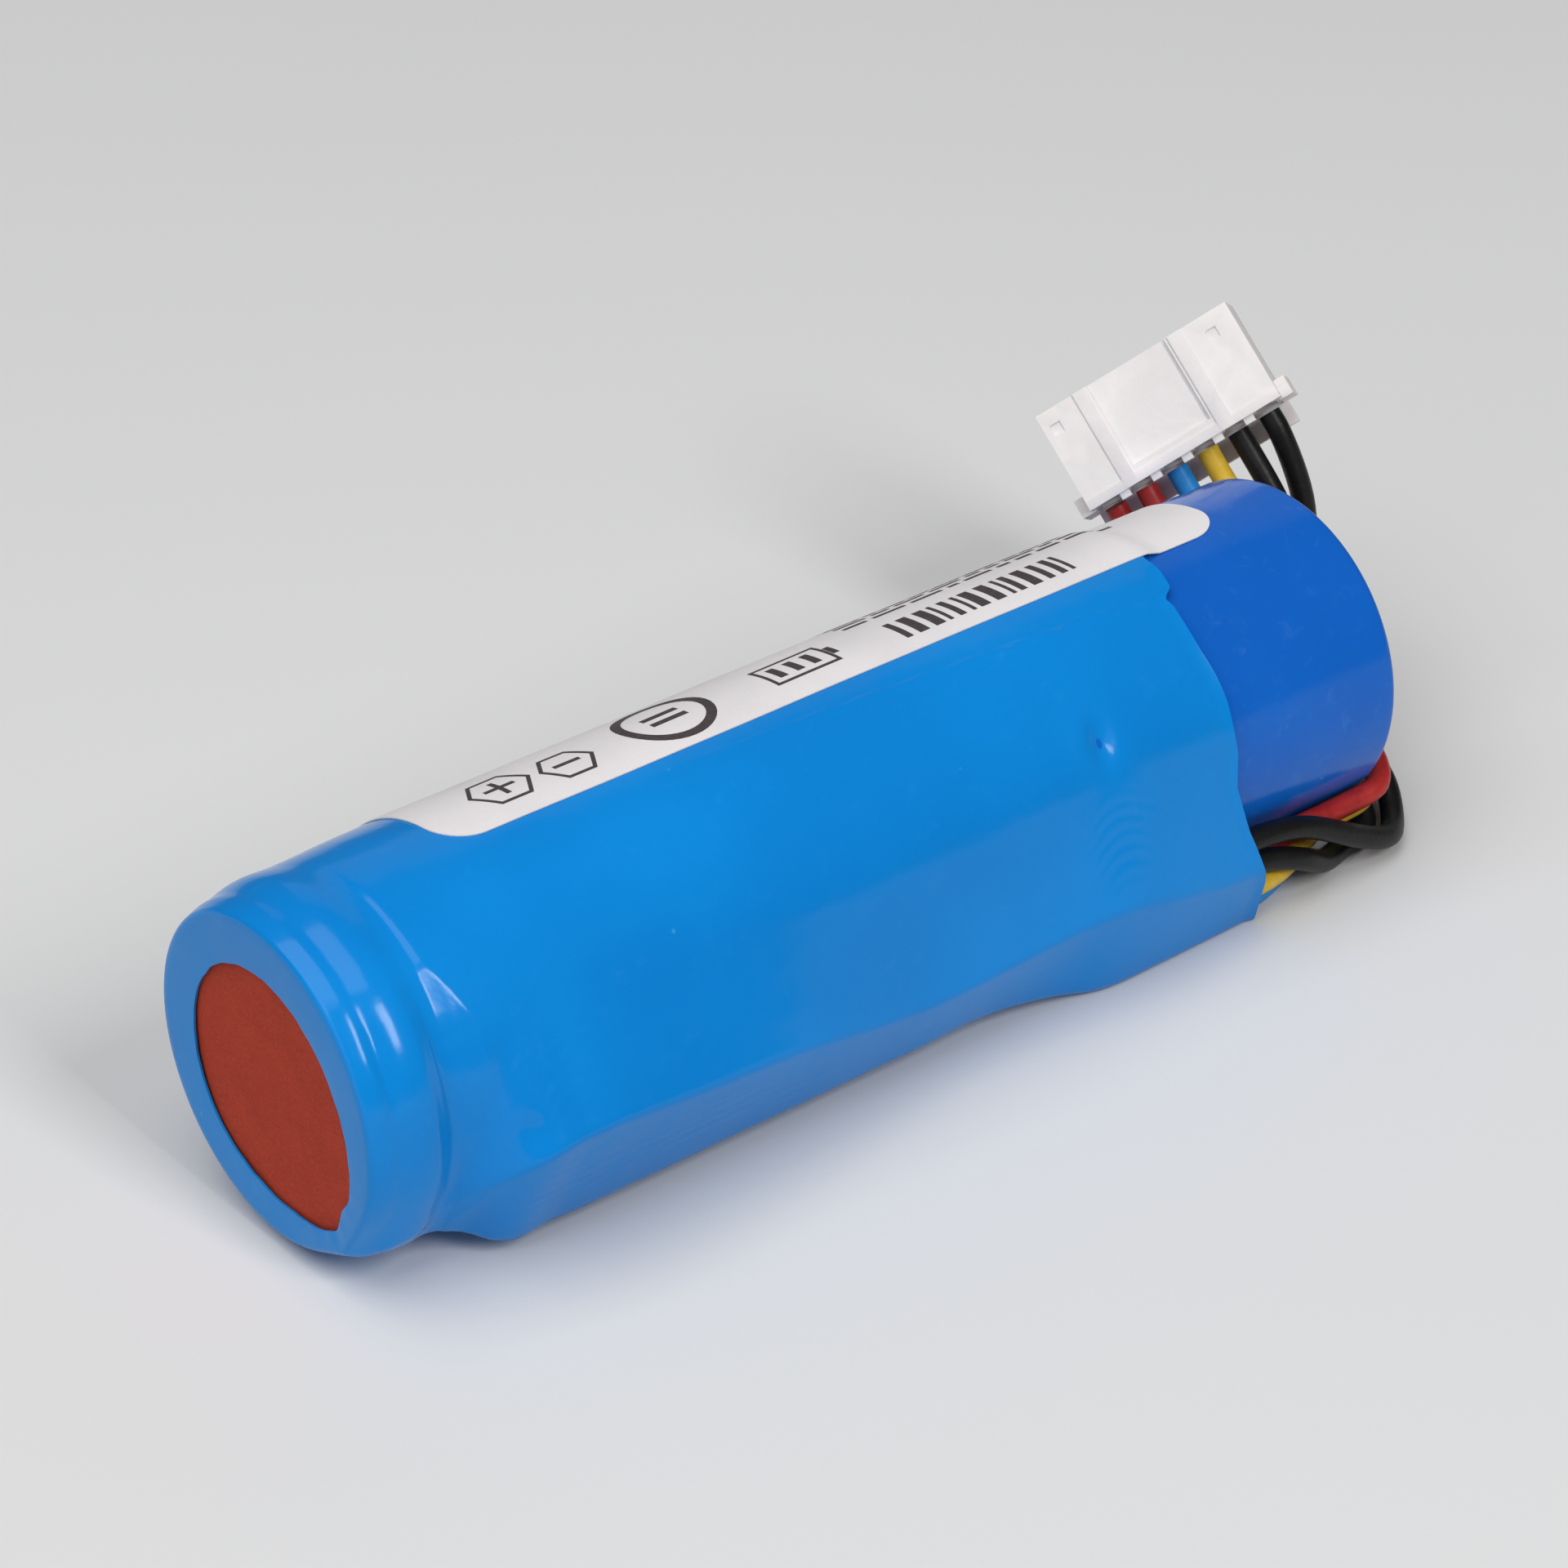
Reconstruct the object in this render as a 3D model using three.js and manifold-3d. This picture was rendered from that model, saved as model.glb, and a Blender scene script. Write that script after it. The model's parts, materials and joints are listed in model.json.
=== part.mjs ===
// A single-cell lithium-ion pack: one round cell in its plain plastic wrap, a protection
// board strapped along its side under a heat-shrunk sleeve, six thin leads and a white plug.
//
// Millimetres, +Z up. The cell lies along X: the end with the brick-red paper disc faces -X, the
// end where the leads come out faces +X. While the pieces are built, X = 0 is the outer face of
// the sleeved end and the cell's axis is y = z = 0. The finished group is moved so that its
// origin is the middle of the bottom of everything but the leads and their plug.

import * as THREE from 'three';
import { mergeVertices } from 'three/addons/utils/BufferGeometryUtils.js';
import Module from 'manifold-3d';

const wasm = await Module();
wasm.setup();

// ---------------------------------------------------------------- driving dimensions
const WRAP_RADIUS = 9.3; // outside of the cell's own wrap
const WRAP_WALL = 0.14;
const SLEEVE_WALL = 0.14;
const BENCH_Z = -9.5; // the plane that the sleeved pack rests on
const SLIP = 0.04; // film laid on film
const GAP = 0.1; // between separate hard pieces
const CAN_RADIUS = WRAP_RADIUS - WRAP_WALL - SLIP;
const CAN_WALL = 0.25;
const CAN_FAR_X = 66.3; // outer face of the can's closed end
const WRAP_FAR_X = 67.1; // outer face of the wrap's turned-in edge
const CRIMP_X = 1.62; // outer face of the can's crimped edge
const BEAD_X = 5.0; // middle of the rolled groove under the crimp
const ROUND_STEPS = 48; // sides of the round bodies
const SMALL_STEPS = 32; // sides of the round pieces inside the can
const PIN_STEPS = 12;
const STRIP_WIDTH = 5; // the strip on the can's closed end
const FOLD_WIDTH = 1.9; // the strip where it folds over the cell's edge
const STRIP_THICK = 0.12;
const DISC_THICK = 0.3;
const DISC_RADIUS = 8.2;

const BOARD_TILT = THREE.MathUtils.degToRad(-26.5); // direction of the board's outer face
const BOARD_START_X = 9;
const BOARD_END_X = 45;
const BOARD_BOTTOM = 9.95; // distance of the board's inner face from the cell's axis
const BOARD_THICK = 0.6;
const BOARD_LOW = -3.3; // the board's edges, measured up its own face
const BOARD_HIGH = 1.0;

const LABEL_START_X = 10.7;
const LABEL_END_X = 61.8;
const LABEL_THICK = 0.08;
const LABEL_CORNER = 2.2;

const LEAD_DIAMETER = 1.3;
const LEAD_SIDES = 8;
const LEAD_PITCH = 2.0; // spacing of the plug's contacts
const PLUG_LENGTH = 12.3;
const PLUG_DEPTH = 6.1; // along the mating direction
const PLUG_THICK = 4.3;
const PLUG_WING = 0.65;
const PLUG_SKIRT = 1.4; // how far the back wall runs on down behind the leads
const PLUG_ORIGIN = new THREE.Vector3(66.2, 12.5, 3.6); // where the first lead enters the plug
const PLUG_ALONG = new THREE.Vector3(0.724, -0.446, 0.526).normalize();
const PLUG_MATING = new THREE.Vector3(-0.065, 0.715, 0.695).normalize();

// ---------------------------------------------------------------- materials
const finish = (color, roughness, metalness = 0) =>
  new THREE.MeshStandardMaterial({ color, roughness, metalness });

const FINISH = {
  sleeve: finish(0x118adb, 0.3),
  wrap: finish(0x1560c2, 0.32),
  label: finish(0xdedadb, 0.6),
  redPaper: finish(0x98352a, 0.9),
  whitePaper: finish(0xe6e1d6, 0.85),
  steel: finish(0xb9bcc0, 0.35, 1),
  nickel: finish(0xc9c6bd, 0.3, 1),
  aluminium: finish(0xc3c6ca, 0.4, 1),
  copperFoil: finish(0x6b4a3a, 0.7, 0.3),
  clearPlastic: finish(0xd8dde0, 0.4),
  graphite: finish(0x3a3d42, 0.8),
  board: finish(0x1f6b45, 0.45),
  chip: finish(0x202225, 0.5),
  ceramic: finish(0xb8a07a, 0.6),
  solder: finish(0xc4c7c9, 0.3, 1),
  foam: finish(0x2b2d30, 0.95),
  plug: finish(0xe8e4e3, 0.45),
  tin: finish(0xcfd0cc, 0.3, 1),
  red: finish(0xb0302f, 0.4),
  blue: finish(0x2b86cc, 0.4),
  yellow: finish(0xdcbb44, 0.4),
  black: finish(0x1e1e1e, 0.4),
};

// ---------------------------------------------------------------- helpers
const pack = new THREE.Group();

/** Adds one named piece to the pack. */
function piece(name, geometry, material) {
  const mesh = new THREE.Mesh(geometry, material);
  mesh.name = name;
  pack.add(mesh);
  return mesh;
}

/** A body turned round the cell's axis, from [x, radius] corners. */
function turned(profile, steps = ROUND_STEPS) {
  const points = profile.map(([x, radius]) => new THREE.Vector2(radius, x));
  const area = THREE.ShapeUtils.area(points);
  const ordered = area > 0 ? points : points.reverse();
  const geometry = new THREE.LatheGeometry(ordered, steps);
  return geometry.rotateZ(-Math.PI / 2);
}

/** A turned body with a hole through it, whose profile closes on itself. */
function turnedRing(profile, steps = ROUND_STEPS) {
  return turned([...profile, profile[0]], steps);
}

/** The closed solid that manifold-3d needs, from a closed geometry. */
function toSolid(geometry) {
  const bare = geometry.clone();
  bare.deleteAttribute('normal');
  bare.deleteAttribute('uv');
  const merged = mergeVertices(bare, 1e-4);
  const vertProperties = new Float32Array(merged.attributes.position.array);
  const triVerts = new Uint32Array(merged.index.array);
  return new wasm.Manifold(new wasm.Mesh({ numProp: 3, vertProperties, triVerts }));
}

/** The geometry of a manifold-3d solid. */
function toGeometry(solid) {
  const mesh = solid.getMesh();
  const geometry = new THREE.BufferGeometry();
  geometry.setAttribute('position', new THREE.BufferAttribute(mesh.vertProperties, 3));
  geometry.setIndex(new THREE.BufferAttribute(mesh.triVerts, 1));
  geometry.computeVertexNormals();
  return geometry;
}

/** A point at x, on the ray at angle theta round the axis: 0 is the front (-Y), 90 degrees up. */
function around(x, theta, radius) {
  return new THREE.Vector3(x, -radius * Math.cos(theta), radius * Math.sin(theta));
}

/** A point given in the board's own frame: x, distance out from the axis, distance up its face. */
function onBoard(x, out, up) {
  const outward = new THREE.Vector3(0, -Math.cos(BOARD_TILT), Math.sin(BOARD_TILT));
  const upward = new THREE.Vector3(0, Math.sin(BOARD_TILT), Math.cos(BOARD_TILT));
  return new THREE.Vector3(x, 0, 0).addScaledVector(outward, out).addScaledVector(upward, up);
}

/** A box in the board's frame between two corners [x, out, up]. */
function boardBox(low, high) {
  const size = high.map((value, axis) => value - low[axis]);
  const middle = high.map((value, axis) => (value + low[axis]) / 2);
  const geometry = new THREE.BoxGeometry(...size);
  const turn = new THREE.Matrix4().makeBasis(
    new THREE.Vector3(1, 0, 0),
    onBoard(0, 1, 0),
    onBoard(0, 0, -1),
  );
  geometry.applyMatrix4(turn);
  return geometry.translate(...onBoard(...middle).toArray());
}

/** A tube of a few flat sides along a smooth curve through the points. */
function tube(points, diameter, sides, steps) {
  const outline = new THREE.Shape();
  for (let side = 0; side < sides; side += 1) {
    const angle = (side / sides) * 2 * Math.PI;
    const corner = [Math.cos(angle) * (diameter / 2), Math.sin(angle) * (diameter / 2)];
    if (side === 0) outline.moveTo(...corner);
    else outline.lineTo(...corner);
  }
  const path = new THREE.CatmullRomCurve3(points, false, 'centripetal');
  return new THREE.ExtrudeGeometry(outline, { steps, extrudePath: path });
}

/** A closed thin shell between an inner and an outer grid of points, open at both ends. */
function shell(outer, inner) {
  const rows = outer.length;
  const columns = outer[0].length;
  const positions = [];
  for (const grid of [outer, inner]) {
    for (const row of grid) {
      for (const point of row) positions.push(...point.toArray());
    }
  }
  const index = [];
  const at = (layer, row, column) => (layer * rows + row) * columns + (column % columns);
  const quad = (a, b, c, d) => index.push(a, b, c, a, c, d);
  for (let column = 0; column < columns; column += 1) {
    for (let row = 0; row < rows - 1; row += 1) {
      quad(at(0, row, column), at(0, row, column + 1), at(0, row + 1, column + 1), at(0, row + 1, column));
      quad(at(1, row, column), at(1, row + 1, column), at(1, row + 1, column + 1), at(1, row, column + 1));
    }
    quad(at(0, 0, column), at(1, 0, column), at(1, 0, column + 1), at(0, 0, column + 1));
    const last = rows - 1;
    quad(at(0, last, column), at(0, last, column + 1), at(1, last, column + 1), at(1, last, column));
  }
  const geometry = new THREE.BufferGeometry();
  geometry.setAttribute('position', new THREE.Float32BufferAttribute(positions, 3));
  geometry.setIndex(index);
  geometry.computeVertexNormals();
  return geometry;
}

// ---------------------------------------------------------------- the cell
function buildCell() {
  const inner = CAN_RADIUS - CAN_WALL;
  const groove = 1.0;
  piece('steel_can', turnedRing([
    [CRIMP_X, 7.3],
    [CRIMP_X, CAN_RADIUS - 0.7],
    [CRIMP_X + 0.7, CAN_RADIUS],
    [BEAD_X - 0.9, CAN_RADIUS],
    [BEAD_X - 0.3, CAN_RADIUS - groove],
    [BEAD_X + 0.3, CAN_RADIUS - groove],
    [BEAD_X + 0.9, CAN_RADIUS],
    [CAN_FAR_X - 0.5, CAN_RADIUS],
    [CAN_FAR_X, CAN_RADIUS - 0.5],
    [CAN_FAR_X, 0.01],
    [CAN_FAR_X - 0.3, 0.01],
    [CAN_FAR_X - 0.3, inner - 0.4],
    [CAN_FAR_X - 0.7, inner],
    [BEAD_X + 1.1, inner],
    [BEAD_X + 0.5, inner - groove],
    [BEAD_X - 0.5, inner - groove],
    [BEAD_X - 1.1, inner],
    [CRIMP_X + 0.75, inner],
    [CRIMP_X + CAN_WALL, inner - 0.6],
    [CRIMP_X + CAN_WALL, 7.3],
  ]), FINISH.steel);

  const lip = 1.28;
  piece('cell_wrap', turnedRing([
    [lip, 7.4],
    [lip, WRAP_RADIUS - 0.75],
    [lip + 0.75, WRAP_RADIUS],
    [WRAP_FAR_X - 0.35, WRAP_RADIUS],
    [WRAP_FAR_X, WRAP_RADIUS - 0.35],
    [WRAP_FAR_X, 7.6],
    [WRAP_FAR_X - WRAP_WALL, 7.6],
    [WRAP_FAR_X - WRAP_WALL, WRAP_RADIUS - 0.5],
    [WRAP_FAR_X - 0.5, WRAP_RADIUS - WRAP_WALL],
    [lip + 0.85, WRAP_RADIUS - WRAP_WALL],
    [lip + WRAP_WALL, WRAP_RADIUS - 0.88],
    [lip + WRAP_WALL, 7.4],
  ]), FINISH.wrap);

  piece('top_paper_ring', turnedRing([
    [1.46, 5], [1.46, 8.1], [1.57, 8.1], [1.57, 5],
  ], SMALL_STEPS), FINISH.whitePaper);

  // The crimped header: gasket, button, heat-sensitive ring, burst disc and its cut-off disc.
  piece('header_gasket', turnedRing([
    [CRIMP_X + 0.3, 6.9],
    [CRIMP_X + 0.3, 8.15],
    [CRIMP_X + 0.9, 8.75],
    [3.7, 8.75],
    [3.7, 7.55],
    [3.35, 7.55],
    [3.35, 8.2],
    [CRIMP_X + 0.75, 8.2],
    [CRIMP_X + 0.75, 6.9],
  ]), FINISH.clearPlastic);
  piece('positive_cap', buttonWithVents(), FINISH.nickel);
  piece('ptc_ring', turnedRing([[2.68, 5], [2.68, 8.1], [2.9, 8.1], [2.9, 5]], SMALL_STEPS), FINISH.graphite);
  piece('burst_disc', turned([
    [2.96, 0], [2.96, 8.1], [3.2, 8.1], [3.2, 3], [3.7, 2.4], [3.7, 0],
  ], SMALL_STEPS), FINISH.aluminium);
  piece('cutoff_gasket', turnedRing([
    [3.3, 4.2], [3.3, 7.4], [3.8, 7.4], [3.8, 4.2],
  ], SMALL_STEPS), FINISH.clearPlastic);
  piece('cutoff_disc', discWithHoles(3.9, 4.2, 7.2, 4, 4.6, 0.8), FINISH.aluminium);

  piece('top_insulator', discWithHoles(6.3, 6.6, 8.6, 3, 5, 1.2), FINISH.clearPlastic);
  piece('electrode_roll', turnedRing([
    [7.0, 1.4], [7.0, 8.6], [64.9, 8.6], [64.9, 1.4],
  ], SMALL_STEPS), FINISH.copperFoil);
  piece('centre_pin', turnedRing([
    [7.3, 0.9], [7.3, 1.2], [64.6, 1.2], [64.6, 0.9],
  ], PIN_STEPS), FINISH.steel);
  piece('bottom_insulator', discWithHoles(65.1, 65.4, 8.6, 3, 5, 1.2), FINISH.clearPlastic);
  piece('positive_tab', insideTab(4.3, 6.9, 5, 2.1), FINISH.aluminium);
  piece('negative_tab', insideTab(64.95, 65.95, 5, 2.1), FINISH.nickel);
}

/** The button on the positive end, a flanged cap with three windows in its side. */
function buttonWithVents() {
  const cap = toSolid(turned([
    [0.95, 0], [0.95, 4.1], [2.42, 4.6], [2.42, 8.1], [2.62, 8.1], [2.62, 4.4], [1.2, 3.9], [1.2, 0],
  ], SMALL_STEPS));
  let cut = cap;
  for (let window = 0; window < 3; window += 1) {
    const hole = new THREE.BoxGeometry(0.7, 3, 1.8);
    hole.translate(1.75, 4.6, 0);
    hole.rotateX((window / 3) * 2 * Math.PI);
    cut = cut.subtract(toSolid(hole));
  }
  return toGeometry(cut);
}

/** A flat disc between two x values, with a ring of round holes. */
function discWithHoles(lowX, highX, radius, count, pitchRadius, holeRadius) {
  let disc = toSolid(turned([
    [lowX, 0], [lowX, radius], [highX, radius], [highX, 0],
  ], SMALL_STEPS));
  for (let hole = 0; hole < count; hole += 1) {
    const drill = new THREE.CylinderGeometry(holeRadius, holeRadius, 2, 12);
    drill.rotateZ(Math.PI / 2);
    drill.translate((lowX + highX) / 2, pitchRadius, 0);
    drill.rotateX((hole / count) * 2 * Math.PI);
    disc = disc.subtract(toSolid(drill));
  }
  return toGeometry(disc);
}

/** A short upright strip inside the cell between two x values. */
function insideTab(lowX, highX, y, width) {
  const tab = new THREE.BoxGeometry(highX - lowX - 2 * SLIP, 0.12, width);
  return tab.translate((lowX + highX) / 2, y, 0);
}

// ---------------------------------------------------------------- strips and paper at the ends
function buildEnds() {
  const theta = THREE.MathUtils.degToRad(-48);
  piece('positive_strip', foldedStrip(theta, [
    [0.9, -3], [0.9, 8.3], [1.95, WRAP_RADIUS + 0.05], [BOARD_START_X - GAP, WRAP_RADIUS + 0.05],
  ], -1), FINISH.nickel);
  piece('near_end_disc', turned([
    [0.32, 0], [0.32, DISC_RADIUS], [0.32 + DISC_THICK, DISC_RADIUS], [0.32 + DISC_THICK, 0],
  ]), FINISH.redPaper);
  piece('negative_strip', endStrip(), FINISH.nickel);
  piece('far_end_disc', turned([
    [66.56, 0], [66.56, DISC_RADIUS], [66.56 + DISC_THICK, DISC_RADIUS], [66.56 + DISC_THICK, 0],
  ]), FINISH.redPaper);
}

/** A thin strip bent along an outline of [x, radius] corners, standing at one angle. */
function foldedStrip(theta, outline, side) {
  const shape = new THREE.Shape();
  const back = [];
  outline.forEach(([x, radius], corner) => {
    if (corner === 0) shape.moveTo(x, radius);
    else shape.lineTo(x, radius);
    const isFlat = corner < 2;
    back.unshift(isFlat ? [x + side * STRIP_THICK, radius] : [x, radius + STRIP_THICK]);
  });
  back.forEach(([x, radius]) => shape.lineTo(x, radius));
  const strip = new THREE.ExtrudeGeometry(shape, { depth: FOLD_WIDTH, bevelEnabled: false });
  strip.translate(0, 0, -FOLD_WIDTH / 2);
  strip.rotateX(Math.PI);
  strip.rotateX(-theta);
  return strip;
}

/** The strip welded across the can's closed end. */
function endStrip() {
  const strip = new THREE.BoxGeometry(STRIP_THICK, 13, STRIP_WIDTH);
  return strip.translate(CAN_FAR_X + 0.04 + STRIP_THICK / 2, 0, 0);
}

// ---------------------------------------------------------------- the protection board
function buildBoard() {
  const top = BOARD_BOTTOM + BOARD_THICK;
  const pad = 0.05;
  piece('board_foam', boardBox(
    [BOARD_START_X + 0.5, WRAP_RADIUS + 0.06, BOARD_LOW + 1],
    [BOARD_END_X - 3, BOARD_BOTTOM - pad, BOARD_HIGH - 0.2],
  ), FINISH.foam);
  piece('protection_board', boardBox(
    [BOARD_START_X, BOARD_BOTTOM, BOARD_LOW],
    [BOARD_END_X, top, BOARD_HIGH],
  ), FINISH.board);

  const parts = [
    ['switch_transistor_1', 15, 17.6, -2.6, 0.2, 'chip'],
    ['switch_transistor_2', 19, 21.6, -2.6, 0.2, 'chip'],
    ['protection_chip', 23.4, 25.2, -2.4, -0.6, 'chip'],
    ['sense_resistor', 11, 13.2, -2.2, -0.8, 'ceramic'],
    ['filter_capacitor_1', 26.6, 27.6, -2.6, -1.9, 'ceramic'],
    ['filter_capacitor_2', 26.6, 27.6, -1.2, -0.5, 'ceramic'],
    ['thermistor', 29.4, 30.8, -2.2, -1.3, 'ceramic'],
    ['gauge_chip', 32.6, 35.2, -2.9, -0.3, 'chip'],
    ['gauge_resistor', 36.6, 37.6, -2.2, -1.6, 'ceramic'],
  ];
  for (const [name, lowX, highX, low, high, material] of parts) {
    const height = material === 'chip' ? 0.45 : 0.4;
    piece(name, boardBox([lowX, top + pad, low], [highX, top + pad + height, high]), FINISH[material]);
  }
  for (let joint = 0; joint < 6; joint += 1) {
    const up = -2.9 + joint * 0.7;
    piece(`solder_joint_${joint + 1}`, boardBox(
      [41.6, top + pad, up - 0.25],
      [44.4, top + pad + 0.4, up + 0.25],
    ), FINISH.solder);
  }
}

// ---------------------------------------------------------------- sleeve and label
/** The support at a distance out whose film just touches the bench. */
function onBench(out, bend) {
  return [out, (BENCH_Z + bend - out * Math.sin(BOARD_TILT)) / Math.cos(BOARD_TILT)];
}

// Each row: x, then the two points that hold the film off the cell, in the board's frame
// (out, up), and how round the film is where it goes over them.
const SLEEVE_STATIONS = [
  { x: 0.3, radius: 8.9, high: [8.3, -3.3], low: [8.3, -3.3], bend: 0.3 },
  { x: 0.9, radius: 9.15, high: [8.6, -3.1], low: [8.55, -3.4], bend: 0.4 },
  { x: 1.9, radius: 9.48, high: [9.08, -2.3], low: [8.7, -3.4], bend: 0.4 },
  { x: 2.8, radius: 9.49, high: [9.15, -2.2], low: [8.77, -3.46], bend: 0.4 },
  { x: 4.7, radius: 9.49, high: [9.4, -1], low: [9.13, -3.6], bend: 0.4 },
  { x: 6.2, radius: 9.5, high: [10.3, 1.2], low: [9.85, -3.7], bend: 0.4 },
  { x: 7.6, radius: 9.52, high: [10.8, 2.8], low: [10.4, -3.6], bend: 0.4 },
  { x: 11, radius: 9.54, high: [10.95, 3.9], low: [10.85, -3.45], bend: 0.4 },
  { x: 16, radius: 9.56, high: [10.95, 3.4], low: [11, -3.4], bend: 0.4 },
  { x: 24, radius: 9.58, high: [10.95, 2.5], low: [11, -3.4], bend: 0.4 },
  { x: 34, radius: 9.6, high: [11.05, 0.8], low: [11, -3.4], bend: 0.4 },
  { x: 39, radius: 9.6, high: [11, 1.1], low: [10.95, -3.5], bend: 0.45 },
  { x: 43, radius: 9.6, high: [10.9, 1.5], low: [11.3, -3.7], bend: 0.75 },
  { x: 46, radius: 9.6, high: [10.95, 1.6], low: onBench(11.8, 0.95), bend: 0.95 },
  { x: 50, radius: 9.6, high: [11.2, 0.9], low: onBench(11.85, 0.98), bend: 0.98 },
  { x: 53, radius: 9.6, high: [11.3, 0.2], low: onBench(11.8, 0.98), bend: 0.98 },
  { x: 55.2, radius: 9.6, high: [11.3, -0.2], low: onBench(11.75, 0.98), bend: 0.98 },
];

/** How far the film reaches from the axis in one direction, stretched over its three supports. */
function filmRadius(station, theta) {
  const local = theta - BOARD_TILT;
  let least = Infinity;
  const fan = 60;
  for (let step = -fan; step <= fan; step += 1) {
    const offset = (step / fan) * 1.45;
    const angle = local + offset;
    const supports = [station.high, station.low].map(
      ([out, up]) => out * Math.cos(angle) + up * Math.sin(angle) + station.bend,
    );
    const reach = Math.max(station.radius, ...supports) / Math.cos(offset);
    least = Math.min(least, reach);
  }
  return least;
}

function buildSleeve() {
  const columns = ROUND_STEPS;
  const thetaOf = (column) => -(column / columns) * 2 * Math.PI + Math.PI / 2;
  const ring = (radius, x) =>
    Array.from({ length: columns }, (_, column) => around(x, thetaOf(column), radius));
  const film = (station, inward) =>
    Array.from({ length: columns }, (_, column) => {
      const theta = thetaOf(column);
      const point = around(station.x, theta, filmRadius(station, theta) - inward);
      point.z = Math.max(point.z, BENCH_Z + inward);
      return point;
    });
  const outer = [ring(6.4, 0.02), ring(8.6, 0.02)];
  const inner = [ring(6.4, 0.2), ring(8.5, 0.2)];
  SLEEVE_STATIONS.forEach((station, row) => {
    outer.push(film(station, 0));
    const inset = row === 0 ? { ...station, x: station.x + 0.12 } : station;
    inner.push(film(inset, SLEEVE_WALL));
  });
  piece('shrink_sleeve', shell(outer, inner), FINISH.sleeve);
}

function buildLabel() {
  const front = THREE.MathUtils.degToRad(84);
  const back = THREE.MathUtils.degToRad(216);
  const columns = 18;
  const stations = [10.7, 11.2, 12, 12.9, 16, 24, 34, 50, 55.2, 56.6, 59.6, 60.5, 61.3, 61.8];
  const outer = [];
  const inner = [];
  for (const x of stations) {
    const fromEnd = Math.min(x - LABEL_START_X, LABEL_END_X - x);
    const inset = LABEL_CORNER - Math.min(fromEnd, LABEL_CORNER);
    const cut = LABEL_CORNER - Math.sqrt(LABEL_CORNER ** 2 - inset ** 2);
    const margin = cut / WRAP_RADIUS;
    const radius = labelRadius(x);
    const outerRow = [];
    const innerRow = [];
    for (let column = 0; column <= columns; column += 1) {
      const share = column / columns;
      const theta = THREE.MathUtils.lerp(front + margin, back - margin, share);
      outerRow.push(around(x, theta, radius + LABEL_THICK));
      innerRow.push(around(x, theta, radius));
    }
    outer.push(outerRow);
    inner.push(innerRow);
  }
  piece('label', plate(outer, inner), FINISH.label);
}

/** The label lies on the sleeve, then steps down onto the cell's own wrap. */
function labelRadius(x) {
  const onSleeve = 9.68;
  const onWrap = WRAP_RADIUS + 0.1;
  return THREE.MathUtils.lerp(onSleeve, onWrap, THREE.MathUtils.smoothstep(x, 55.2, 56.6));
}

/** A closed curved plate between two grids of points. */
function plate(outer, inner) {
  const rows = outer.length;
  const columns = outer[0].length;
  const positions = [];
  for (const grid of [outer, inner]) {
    for (const row of grid) {
      for (const point of row) positions.push(...point.toArray());
    }
  }
  const at = (layer, row, column) => (layer * rows + row) * columns + column;
  const index = [];
  const quad = (a, b, c, d) => index.push(a, c, b, a, d, c);
  for (let row = 0; row < rows - 1; row += 1) {
    for (let column = 0; column < columns - 1; column += 1) {
      quad(at(0, row, column), at(0, row, column + 1), at(0, row + 1, column + 1), at(0, row + 1, column));
      quad(at(1, row, column), at(1, row + 1, column), at(1, row + 1, column + 1), at(1, row, column + 1));
    }
    const last = columns - 1;
    quad(at(0, row, 0), at(0, row + 1, 0), at(1, row + 1, 0), at(1, row, 0));
    quad(at(0, row, last), at(1, row, last), at(1, row + 1, last), at(0, row + 1, last));
  }
  for (let column = 0; column < columns - 1; column += 1) {
    const last = rows - 1;
    quad(at(0, 0, column), at(1, 0, column), at(1, 0, column + 1), at(0, 0, column + 1));
    quad(at(0, last, column), at(0, last, column + 1), at(1, last, column + 1), at(1, last, column));
  }
  const geometry = new THREE.BufferGeometry();
  geometry.setAttribute('position', new THREE.Float32BufferAttribute(positions, 3));
  geometry.setIndex(index);
  geometry.computeVertexNormals();
  return geometry;
}

// ---------------------------------------------------------------- leads and plug
/** A point in the plug's frame: along the row of contacts, into the plug, and out of its face. */
function inPlug(along, into, out) {
  const face = new THREE.Vector3().crossVectors(PLUG_ALONG, PLUG_MATING);
  return PLUG_ORIGIN.clone()
    .addScaledVector(PLUG_ALONG, along)
    .addScaledVector(PLUG_MATING, into)
    .addScaledVector(face, out);
}

/** A box in the plug's frame between two corners [along, into, out]. */
function plugBox(low, high) {
  const size = high.map((value, axis) => value - low[axis]);
  const middle = high.map((value, axis) => (value + low[axis]) / 2);
  const face = new THREE.Vector3().crossVectors(PLUG_ALONG, PLUG_MATING);
  const geometry = new THREE.BoxGeometry(...size);
  geometry.applyMatrix4(new THREE.Matrix4().makeBasis(PLUG_ALONG, PLUG_MATING, face));
  return geometry.translate(...inPlug(...middle).toArray());
}

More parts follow.
